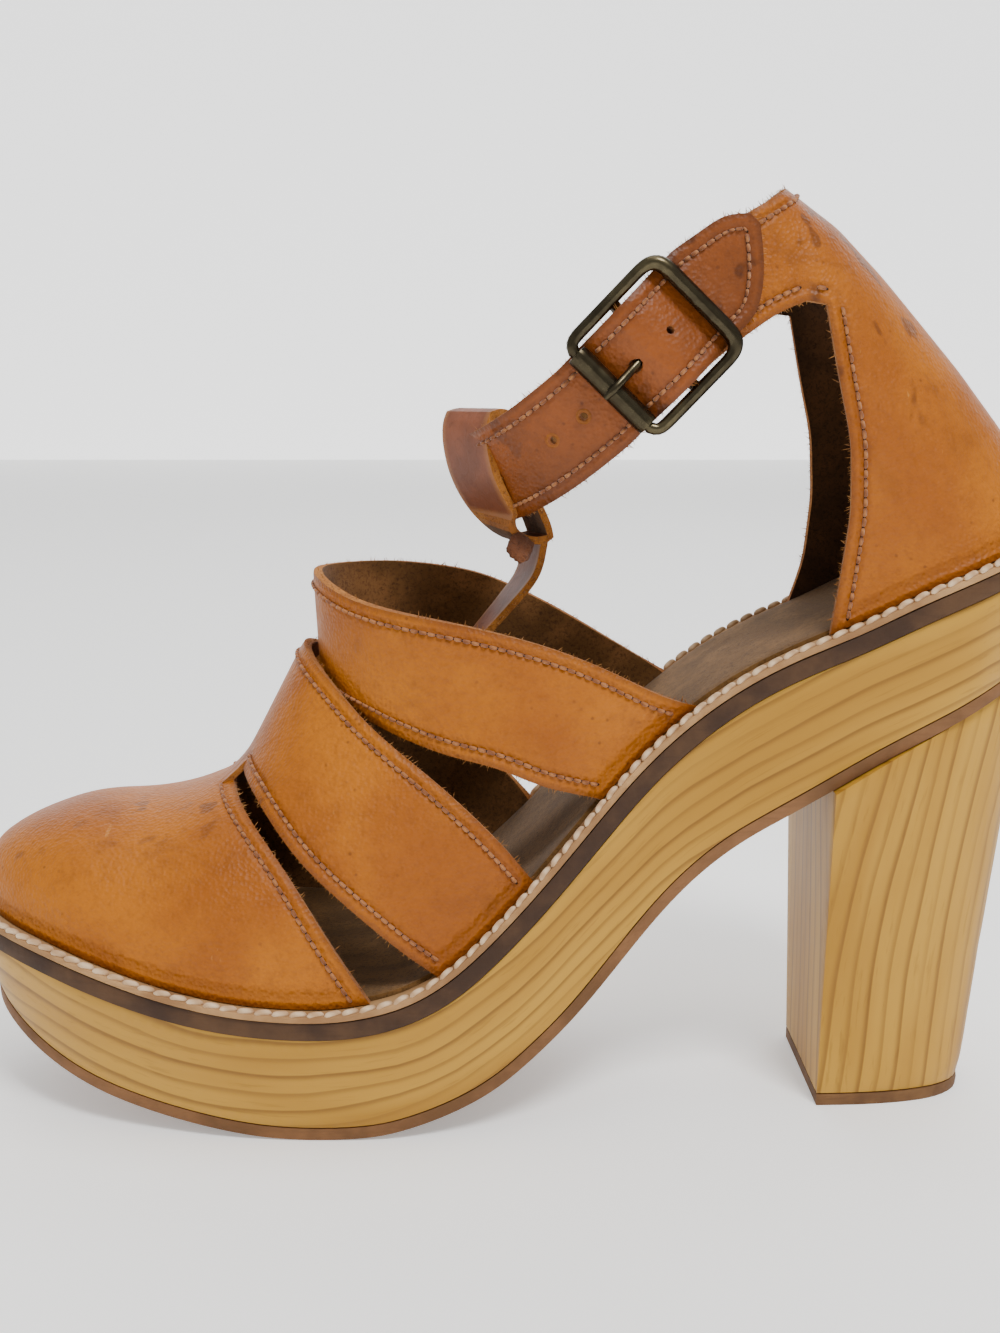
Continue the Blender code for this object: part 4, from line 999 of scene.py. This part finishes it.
@dataclass
class Seam:
    """A row of stitches that runs beside a cut edge."""

    inset: float = 0.0029
    pitch: float = 0.0019
    length: float = 0.00180
    thick: float = 0.00078
    hole: float = 0.00042
    reach: float = 0.0011
    shortest: float = 0.4
    longest: float = 1.6
    lift: float = 0.08
    arch: float = 0.35

    def sew(self, name: str, piece: bpy.types.Object, lines: list[RimLine],
            keep: Callable[[Vector], bool], wardrobe: Wardrobe) -> list[bpy.types.Object]:
        """Sews along cut lines.

        Args:
            name: The thread piece's name.
            piece: The sheet that is sewn.
            lines: Its cut lines.
            keep: Says whether a place gets a stitch.
            wardrobe: The finishes.

        Returns:
            The threads and their needle holes.
        """
        tree = search_tree(piece.data, Side.OUTER)
        stitches: list[Spot] = []
        holes: list[Spot] = []
        for line in lines:
            row: list[tuple[Vector, Vector] | None] = []
            for spot, way in line.spaced(self.pitch):
                target = spot + way * self.inset
                hit, normal, _, gap = tree.find_nearest(target)
                good = hit is not None and gap < self.reach and keep(hit) and keep(spot)
                row.append((hit, normal) if good else None)
            for one, two in zip(row, row[1:]):
                if one is None or two is None:
                    continue
                span = two[0] - one[0]
                if not (self.shortest * self.pitch < span.length
                        < self.longest * self.pitch):
                    continue
                up = (one[1] + two[1]).normalized()
                middle = (one[0] + two[0]) / 2 + up * self.thick * self.lift
                stitches.append((middle, span, up, span.length / self.pitch))
                holes.append((one[0], span, one[1], 1.0))
        if not stitches:
            return []
        form = thread_form(self.length, self.thick, self.thick * self.arch)
        out = [sown(name, form, stitches, wardrobe.get(SEAM_THREAD)),
               # The second piece is the needle holes' painted shade.
               sown(name + "_holes", hole_form(self.hole), holes, wardrobe.get(NEEDLE_HOLE_SHADE))]
        LOG.info("%s: %d stitches", name, len(stitches))
        return out


@dataclass
class Fuzz:
    """Loose fibres that stand out of a cut edge."""

    pitch: float = 0.00030
    shortest: float = 0.00030
    longest: float = 0.0019
    thick: float = 0.00017
    taper: float = 0.2
    depth: float = 0.0015
    shallowest: float = 0.1
    inset: float = 0.0001
    skipped: float = 0.25
    stray: float = 0.55
    size_curve: tuple[float, float] = (1.2, 3.2)
    seed: int = 7

    def grow(self, name: str, piece: bpy.types.Object, lines: list[RimLine],
             wardrobe: Wardrobe, slot: str) -> list[bpy.types.Object]:
        """Grows fibres along cut lines.

        Args:
            name: The fibre piece's name.
            piece: The sheet whose edge is cut.
            lines: Its cut lines.
            wardrobe: The finishes.
            slot: The record's material slot; not used.

        Returns:
            The fibres, as one piece, or nothing.
        """
        rng = np.random.default_rng(self.seed)
        tree = search_tree(piece.data, Side.OUTER)
        spots: list[Spot] = []
        for line in lines:
            for place, way in line.spaced(self.pitch):
                _, normal, _, _ = tree.find_nearest(place)
                if normal is None or rng.random() < self.skipped:
                    continue
                sink = float(rng.uniform(self.shallowest, 1.0))
                root = place - normal * sink * self.depth + way * self.inset
                stray = Vector(rng.normal(0.0, self.stray, 3).tolist())
                aim = (-way + stray).normalized()
                share = float(rng.beta(*self.size_curve))
                size = share * (self.longest - self.shortest) + self.shortest
                side = aim.orthogonal().normalized()
                spots.append((root, aim, side, size / self.longest))
        if not spots:
            return []
        form = added(bpy.ops.mesh.primitive_cone_add, vertices=3, radius1=self.thick,
                     radius2=self.thick * self.taper, depth=self.longest,
                     location=(self.longest / 2, 0, 0), rotation=(0.0, math.pi / 2, 0.0))
        bpy.ops.object.transform_apply(location=True, rotation=True, scale=True)
        LOG.info("%s: %d fibres", name, len(spots))
        return [sown(name, form, spots, wardrobe.get(FIBRE))]


@dataclass
class Sheet:
    """A leather piece cut from sheet: its CAD node, faired, marked, rounded and sewn."""

    node: str
    name: str
    outer: TanLeather | LoopLeather = TAN
    inner: Suede = LINING
    edge: Suede = RAW_EDGE
    slot: str = "tan_leather"
    mesh_size: float = 0.0015
    rounding: float = 0.0004
    rounds: int = 12
    seam: Seam | None = field(default_factory=Seam)
    fuzz: Fuzz | None = field(default_factory=Fuzz)
    clear_of: tuple[str, ...] = ("welt",)
    clear_gap: float = 0.0012
    core_toe: float = -0.078
    core_heel: float = 0.080
    core_height: float = 0.048
    core_rise: float = 0.62
    core_rise_from: float = 0.06

    def facing(self, point: Vector, normal: Vector) -> float:
        """Says how far a face looks away from the foot.

        Args:
            point: The face's centre.
            normal: Its normal.

        Returns:
            From 1, straight out, to -1, straight in.
        """
        return normal.dot((point - self.core(point)).normalized())

    def core(self, point: Vector) -> Vector:
        """Gives the point of the foot's middle line that is level with a face."""
        x = clamp(point.x, self.core_toe, self.core_heel)
        rise = max(0.0, x + self.core_rise_from) * self.core_rise
        return Vector((x, 0.0, self.core_height + rise))

    def shape(self, obj: bpy.types.Object) -> None:
        """Leaves the copy's shape as the CAD has it.

        Args:
            obj: The copy of the CAD node; not used.
        """

    def details(self, obj: bpy.types.Object, wardrobe: Wardrobe) -> list[bpy.types.Object]:
        """Adds no more than the seams and fibres.

        Args:
            obj: The faired sheet; not used.
            wardrobe: The finishes; not used.

        Returns:
            The pieces added, here none.
        """
        return []

    def build(self, frame: dict, wardrobe: Wardrobe) -> list[bpy.types.Object]:
        """Builds the sheet and its seams.

        Args:
            wardrobe: The finishes.

        Returns:
            The pieces made.
        """
        obj = copy_of(frame, self.node, self.name)
        self.shape(obj)
        mark_sides(obj, self.facing)
        refine(obj, self.mesh_size)
        relax(obj, self.rounds)
        lines = rim_lines(obj)
        made = [obj] + self.details(obj, wardrobe)
        if self.seam:
            trees = [search_tree(frame["nodes"][n].data) for n in self.clear_of]
            made += self.seam.sew(self.name + "_stitches", obj, lines,
                                  lambda p: all(t.find_nearest(p)[3] > self.clear_gap
                                                for t in trees), wardrobe)
        if self.fuzz:
            made += self.fuzz.grow(self.name + "_fibres", obj, lines, wardrobe, self.slot)
        soften(obj, self.rounding)
        write_rim(obj, lines)
        finish_with(obj, [wardrobe.get(self.outer), wardrobe.get(self.inner),
                          wardrobe.get(self.edge)])
        LOG.info("%s: %d faces, %d cut lines", self.name, len(obj.data.polygons), len(lines))
        return made


@dataclass
class CounterSheet(Sheet):
    """The heel counter, which wraps the back of the foot."""

    leg_middle: float = 0.045

    def core(self, point: Vector) -> Vector:
        """Gives the leg's upright middle line level with a face."""
        return Vector((self.leg_middle, 0.0, point.z))


@dataclass
class AnkleSheet(CounterSheet):
    """The ankle strap, with a pressed ring round two of its three spare holes."""

    ring_places: tuple[Point, ...] = SPARE_HOLE_PLACES
    ring_radius: float = 0.00125
    ring_thick: float = 0.00042
    ring_rise: float = 0.00035
    ring_flatness: float = 0.55

    def details(self, obj: bpy.types.Object, wardrobe: Wardrobe) -> list[bpy.types.Object]:
        """Presses a ring round the spare holes between the buckle and the loop.

        Args:
            obj: The faired sheet.
            wardrobe: The finishes.

        Returns:
            The rings, as one piece.
        """
        tree = search_tree(obj.data, Side.OUTER)
        spots: list[Spot] = []
        for place in self.ring_places:
            _, normal, _, _ = tree.find_nearest(Vector(place))
            spot = Vector(place) + normal * self.ring_rise
            spots.append((spot, normal.orthogonal(), normal, 1.0))
        form = added(bpy.ops.mesh.primitive_torus_add, major_radius=self.ring_radius,
                     minor_radius=self.ring_thick, major_segments=24, minor_segments=8)
        for vert in form.data.vertices:
            vert.co.z *= self.ring_flatness
        return [sown(self.name + "_hole_rings", form, spots, wardrobe.get(TAN))]


@dataclass
class LoopSheet(Sheet):
    """The loop round the ankle strap and the tab that holds it to the foot straps."""

    loop_floor: float = 0.1283
    loop_middle: Point = (0.0, -0.009, 0.1405)
    band_axis: Point = (0.374, -0.927, 0.0)
    band_side: Point = (0.927, 0.374, 0.0)
    spread: Point = (0.0052, -0.0010, 0.0)
    spread_near: tuple[float, float] = (-0.0045, 0.0047)
    spread_left: tuple[float, float] = (0.0050, -0.0050)
    spread_above: tuple[float, float] = (-0.0025, 0.0035)
    joint_place: Point = (0.0042, -0.0140, 0.1240)
    joint_size: Point = (0.0027, 0.0037, 0.0009)
    joint_along: Point = (0.80, 0.10, -0.58)
    joint_up: Point = (0.45, -0.65, 0.60)
    joint_folds: float = 2.6
    joint_fold_depth: float = 0.16
    joint_boxiness: float = -0.45

    def details(self, obj: bpy.types.Object, wardrobe: Wardrobe) -> list[bpy.types.Object]:
        """Adds the crumpled joint where the loop's ends and the tab are sewn together.

        Args:
            obj: The faired sheet; not used.
            wardrobe: The finishes.

        Returns:
            The joint, as one piece.
        """
        form = added(bpy.ops.mesh.primitive_ico_sphere_add, subdivisions=5, radius=1.0)
        for vert in form.data.vertices:
            way = vert.co.copy()
            fold = turbulence(way * self.joint_folds, 4, False) * self.joint_fold_depth
            box = max(abs(way.x), abs(way.y), abs(way.z)) ** self.joint_boxiness
            vert.co = Vector([part * size * box * (1.0 + fold)
                              for part, size in zip(way, self.joint_size)])
        spot = (Vector(self.joint_place), Vector(self.joint_along), Vector(self.joint_up), 1.0)
        return [sown(self.name + "_joint", form, [spot], wardrobe.get(LOOP_JOINT))]

    def shape(self, obj: bpy.types.Object) -> None:
        """Spreads the loop's near edge over the strap, where the photograph shows it broad.

        Known fault: the spread edge cuts through the strap's surface.

        Args:
            obj: The copy of the CAD node.
        """
        low, high = (self.loop_floor + part for part in self.spread_above)
        for vert in obj.data.vertices:
            arm = vert.co - Vector(self.loop_middle)
            near = smooth(arm.dot(Vector(self.band_axis)), *self.spread_near)
            left = smooth(arm.dot(Vector(self.band_side)), *self.spread_left)
            vert.co += Vector(self.spread) * near * left * smooth(vert.co.z, low, high)

    def core(self, point: Vector) -> Vector:
        """Gives the loop's own middle for the loop, and the foot's for the tab."""
        if point.z > self.loop_floor:
            return Vector(self.loop_middle)
        return Sheet.core(self, point)


@dataclass(frozen=True)
class SoleGrain:
    """How the platform's grain lies: the tree's middle is beside and below the sole."""

    flatness: float = 0.55
    aside: float = 0.012
    follow: float = 0.90
    below: float = 0.060


@dataclass(frozen=True)
class HeelGrain:
    """How the heel's grain lies: the tree's middle is beside and before the block, and leans."""

    foot: float = 0.05
    lean: float = 0.11
    curve: float = 1.2
    aside: float = 0.045
    before: float = 0.030


@dataclass
class SolePiece:
    """A layer of the sole: its CAD node, faired, rounded and finished."""

    node: str
    name: str
    finish: LayerEdge | Suede | Pine
    slot: str
    mesh_size: float = 0.0035
    rounding: float = 0.0003
    rounds: int = 8
    grain: GrainRun | None = None

    def build(self, frame: dict, wardrobe: Wardrobe) -> list[bpy.types.Object]:
        """Builds the layer.

        Args:
            wardrobe: The finishes.

        Returns:
            The pieces made.
        """
        obj = copy_of(frame, self.node, self.name)
        refine(obj, self.mesh_size)
        relax(obj, self.rounds)
        soften(obj, self.rounding)
        if self.grain:
            self.write_grain(frame, obj)
        finish_with(obj, [wardrobe.get(self.finish)])
        LOG.info("%s: %d faces", self.name, len(obj.data.polygons))
        return [obj]

    def write_grain(self, frame: dict, obj: bpy.types.Object) -> None:
        """Stores coordinates along and across the wood's grain as an attribute.

        Args:
            obj: The piece.
        """
        points = np.array([v.co for v in obj.data.vertices], float)
        if self.grain is GrainRun.ALONG_SOLE:
            lie = SoleGrain()
            drift = np.interp(points[:, 0], *self.middle_line(frame))
            rows = np.column_stack([points[:, 0], lie.flatness * points[:, 1] + lie.aside,
                                    points[:, 2] - lie.follow * drift + lie.below])
        else:
            lie = HeelGrain()
            height = points[:, 2] - lie.foot
            lean = lie.lean * height + lie.curve * height ** 2
            rows = np.column_stack([points[:, 2], points[:, 1] + lie.aside,
                                    points[:, 0] - lie.before - lean])
        layer = obj.data.attributes.new(GRAIN, "FLOAT_VECTOR", "POINT")
        layer.data.foreach_set("vector", rows.astype(np.float32).ravel())

    def middle_line(self, frame: dict, places: int = 40, window: float = 0.006,
                    blur: int = 5) -> tuple[np.ndarray, np.ndarray]:
        """Measures the height of the sole's middle along its length.

        Args:
            places: How many heights are measured.
            window: How far from a place, in metres, its points may lie.
            blur: How many heights are averaged.

        Returns:
            Places along X and the smoothed height at each.
        """
        co = np.array([v.co for v in frame["nodes"]["wooden_platform"].data.vertices], float)
        xs = np.linspace(co[:, 0].min(), co[:, 0].max(), places)
        heights = []
        for x in xs:
            near = co[np.abs(co[:, 0] - x) < window]
            heights.append((near[:, 2].min() + near[:, 2].max()) / 2)
        padded = np.pad(heights, blur // 2, mode="edge")
        return xs, np.convolve(padded, np.ones(blur) / blur, mode="valid")


@dataclass
class WeltStitching:
    """The plump slanted stitches that hold the welt, one beside the next round the shoe."""

    pitch: float = 0.0036
    length: float = 0.0037
    thick: float = 0.0013
    inset: float = 0.0009
    slant: float = 16.0
    lift: float = 0.12
    arch: float = 0.18
    middle_toe: float = -0.075
    middle_heel: float = 0.088
    flat: float = 0.5
    upright: float = 0.35

    def middle(self, x: float) -> float:
        """Gives the place on the sole's middle line that is nearest to a place along it."""
        return clamp(x, self.middle_toe, self.middle_heel)

    def build(self, frame: dict, wardrobe: Wardrobe) -> list[bpy.types.Object]:
        """Sews round the welt.

        Args:
            wardrobe: The finishes.

        Returns:
            The thread.
        """
        bm = bmesh.new()
        bm.from_mesh(frame["nodes"]["welt"].data)
        bmesh.ops.remove_doubles(bm, verts=bm.verts, dist=WELD)
        ring: dict[int, list[int]] = {}
        for edge in bm.edges:
            if len(edge.link_faces) != 2:
                continue
            a, b = edge.link_faces
            top, wall = (a, b) if a.normal.z > b.normal.z else (b, a)
            middle = (edge.verts[0].co + edge.verts[1].co) / 2
            outward = Vector((wall.normal.x, wall.normal.y, 0.0))
            away = Vector((middle.x - self.middle(middle.x), middle.y, 0.0))
            corner = top.normal.z >= self.flat and abs(wall.normal.z) <= self.upright
            if not corner or outward.dot(away) <= 0:
                continue
            one, two = (v.index for v in edge.verts)
            ring.setdefault(one, []).append(two)
            ring.setdefault(two, []).append(one)
        bm.verts.ensure_lookup_table()
        start = min(ring, key=lambda i: bm.verts[i].co.x)
        order = [start]
        while True:
            step = [n for n in ring[order[-1]] if n not in order[-2:] and n != start]
            if not step or len(order) > len(ring):
                break
            order.append(step[0])
        points = np.array([bm.verts[i].co for i in order], float)
        bm.free()
        centre = np.array([[self.middle(p[0]), 0.0, p[2]] for p in points])
        ways = centre - points
        ways /= np.linalg.norm(ways, axis=1)[:, None]
        steps = RimLine(points, ways, True).spaced(self.pitch)
        spots: list[Spot] = []
        lean = math.radians(self.slant)
        for (here, way), (after, _) in zip(steps, steps[1:]):
            along = (after - here).normalized()
            up = way.cross(along)
            up = up if up.z > 0 else -up
            aim = along * math.cos(lean) + way * math.sin(lean)
            spots.append(((here + after) / 2 + way * self.inset + up * self.thick * self.lift,
                          aim, up, 1.0))
        LOG.info("welt stitches: %d", len(spots))
        form = thread_form(self.length, self.thick, self.thick * self.arch, rings=9, sides=8)
        return [sown("welt_stitches", form, spots, wardrobe.get(WELT_THREAD))]


@dataclass
class Buckle:
    """The antique brass buckle: frame, roller and prong."""

    nodes: tuple[str, ...] = ("buckle_frame", "buckle_roller", "buckle_prong")
    mesh_size: float = 0.0012
    rounds: int = 3
    smooth_angle: float = 48.0

    def build(self, frame: dict, wardrobe: Wardrobe) -> list[bpy.types.Object]:
        """Builds the metal parts.

        Args:
            wardrobe: The finishes.

        Returns:
            The pieces made.
        """
        made = []
        for node in self.nodes:
            obj = copy_of(frame, node, node.replace("buckle_", "brass_"))
            refine(obj, self.mesh_size)
            relax(obj, self.rounds)
            alone(obj)
            bpy.ops.object.shade_smooth_by_angle(angle=math.radians(self.smooth_angle))
            finish_with(obj, [wardrobe.get(BRASS)])
            made.append(obj)
            LOG.info("%s: %d faces", obj.name, len(obj.data.polygons))
        return made


@dataclass(frozen=True)
class Lamp:
    """A soft square light: where it hangs, what it faces, its side in metres and its watts."""

    name: str
    place: Point
    aim: Point
    size: float
    power: float

    def hang(self) -> None:
        """Hangs the light."""
        lamp = bpy.data.lights.new(self.name, "AREA")
        lamp.shape = "SQUARE"
        lamp.size = self.size
        lamp.energy = self.power
        obj = bpy.data.objects.new(self.name, lamp)
        obj.location = self.place
        look = Vector(self.aim) - Vector(self.place)
        obj.rotation_euler = look.to_track_quat("-Z", "Y").to_euler()
        bpy.context.scene.collection.objects.link(obj)


@dataclass
class Studio:
    """The pale floor, the white backdrop, the soft lights and the photograph's camera."""

    camera_place: Point = (0.0, -0.3487, 0.1574)
    camera_tilt: float = 80.0
    focal_pixels: float = 1580.0
    long_side: float = 1333.0
    sensor: float = 36.0
    nearest: float = 0.01
    floor_size: float = 8.0
    backdrop_place: Point = (0.0, 3.2, 0.0)
    surround: float = 0.56
    lamps: tuple[Lamp, ...] = (
        Lamp("key", (0.35, -0.85, 1.45), (0.0, 0.0, 0.08), 0.40, 22.0),
        Lamp("fill", (-1.1, -1.0, 0.8), (0.02, 0.0, 0.08), 1.0, 0.9),
        Lamp("back", (0.3, 1.1, 1.1), (0.0, 0.0, 0.10), 1.2, 3.5),
        Lamp("top", (0.0, 0.0, 1.6), (0.0, 0.0, 0.0), 0.8, 6.0),
    )

    def build(self, wardrobe: Wardrobe) -> None:
        """Sets the stage.

        Args:
            wardrobe: The finishes.
        """
        self.plane("studio_floor", (0.0, 0.0, 0.0), 0.0, wardrobe.get(FLOOR))
        for lamp in self.lamps:
            lamp.hang()
        self.plane("studio_backdrop", self.backdrop_place, math.pi / 2, wardrobe.get(BACKDROP))
        self.air()
        self.camera()

    def plane(self, name: str, place: Point, tilt: float, finish: bpy.types.Material) -> None:
        """Adds one large square of the studio.

        Args:
            name: Its name.
            place: Its middle.
            tilt: How far it is tilted up from the floor, in radians.
            finish: Its material.
        """
        square = added(bpy.ops.mesh.primitive_plane_add, size=self.floor_size, location=place,
                       rotation=(tilt, 0.0, 0.0))
        square.name = name
        finish_with(square, [finish])

    def air(self) -> None:
        """Gives the studio its even pale surround."""
        world = bpy.data.worlds.new("studio")
        world.use_nodes = True
        back = world.node_tree.nodes["Background"]
        back.inputs["Color"].default_value = (1.0, 1.0, 1.0, 1.0)
        back.inputs["Strength"].default_value = self.surround
        bpy.context.scene.world = world

    def camera(self) -> None:
        """Sets the camera."""
        lens = bpy.data.cameras.new("camera")
        lens.sensor_width = self.sensor
        lens.sensor_fit = "AUTO"
        lens.lens = self.focal_pixels / self.long_side * self.sensor
        lens.clip_start = self.nearest
        obj = bpy.data.objects.new("camera", lens)
        obj.location = self.camera_place
        obj.rotation_euler = (math.radians(self.camera_tilt), 0.0, 0.0)
        bpy.context.scene.collection.objects.link(obj)
        bpy.context.scene.camera = obj


@dataclass
class Sandal:
    """The whole shoe, in the order that it is put together."""

    sole: tuple[SolePiece, ...] = (
        SolePiece("outsole", "outsole_layer", OUTSOLE, "outsole_leather"),
        SolePiece("wooden_platform", "platform_wood", SOLE_PINE, "pine", 0.0035, 0.0006,
                  grain=GrainRun.ALONG_SOLE),
        SolePiece("midsole", "midsole_layer", BOARD, "brown_board"),
        SolePiece("welt", "welt_strip", WELT, "welt_leather", 0.003, 0.0004),
        SolePiece("insole", "insole_sock", INSOLE, "insole_suede"),
        SolePiece("heel_block", "heel_wood", HEEL_PINE, "pine", 0.005, 0.0007, 4,
                  GrainRun.UP_HEEL),
        SolePiece("top_lift", "heel_lift", TOP_LIFT, "outsole_leather", 0.003, 0.0003, 4),
    )
    uppers: tuple[Sheet, ...] = (
        Sheet("upper", "foot_straps_and_cap", mesh_size=0.0016),
        CounterSheet("heel_counter", "counter_leather", inner=DARK_LINING),
        AnkleSheet("ankle_strap", "ankle_strap_leather", outer=TAN_SHADED, mesh_size=0.0012,
                   rounding=0.00035, rounds=6, clear_of=("buckle_roller",), clear_gap=0.0004),
        LoopSheet("instep_tab", "loop_and_tab", outer=LOOP, slot="mauve_leather", seam=None,
                  mesh_size=0.0010, rounding=0.0003, rounds=6),
        Sheet("buckle_chape", "chape_leather", seam=None, mesh_size=0.0009, rounding=0.00025,
              rounds=3),
    )
    welt_seam: WeltStitching = field(default_factory=WeltStitching)
    buckle: Buckle = field(default_factory=Buckle)

    def build(self, frame: dict, wardrobe: Wardrobe) -> list[bpy.types.Object]:
        """Builds every piece.

        Args:
            wardrobe: The finishes.

        Returns:
            The pieces made.
        """
        made: list[bpy.types.Object] = []
        for part in (*self.sole, *self.uppers, self.welt_seam, self.buckle):
            made += part.build(frame, wardrobe)
        return made


def main() -> None:
    """Loads the frame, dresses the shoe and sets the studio."""
    logging.basicConfig(level=logging.INFO, format="%(name)s %(message)s")
    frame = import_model()
    wardrobe = Wardrobe()
    pieces = Sandal().build(frame, wardrobe)
    LOG.info("%d pieces, %d faces", len(pieces), sum(len(p.data.polygons) for p in pieces))
    Studio().build(wardrobe)


if __name__ == "__main__":
    main()
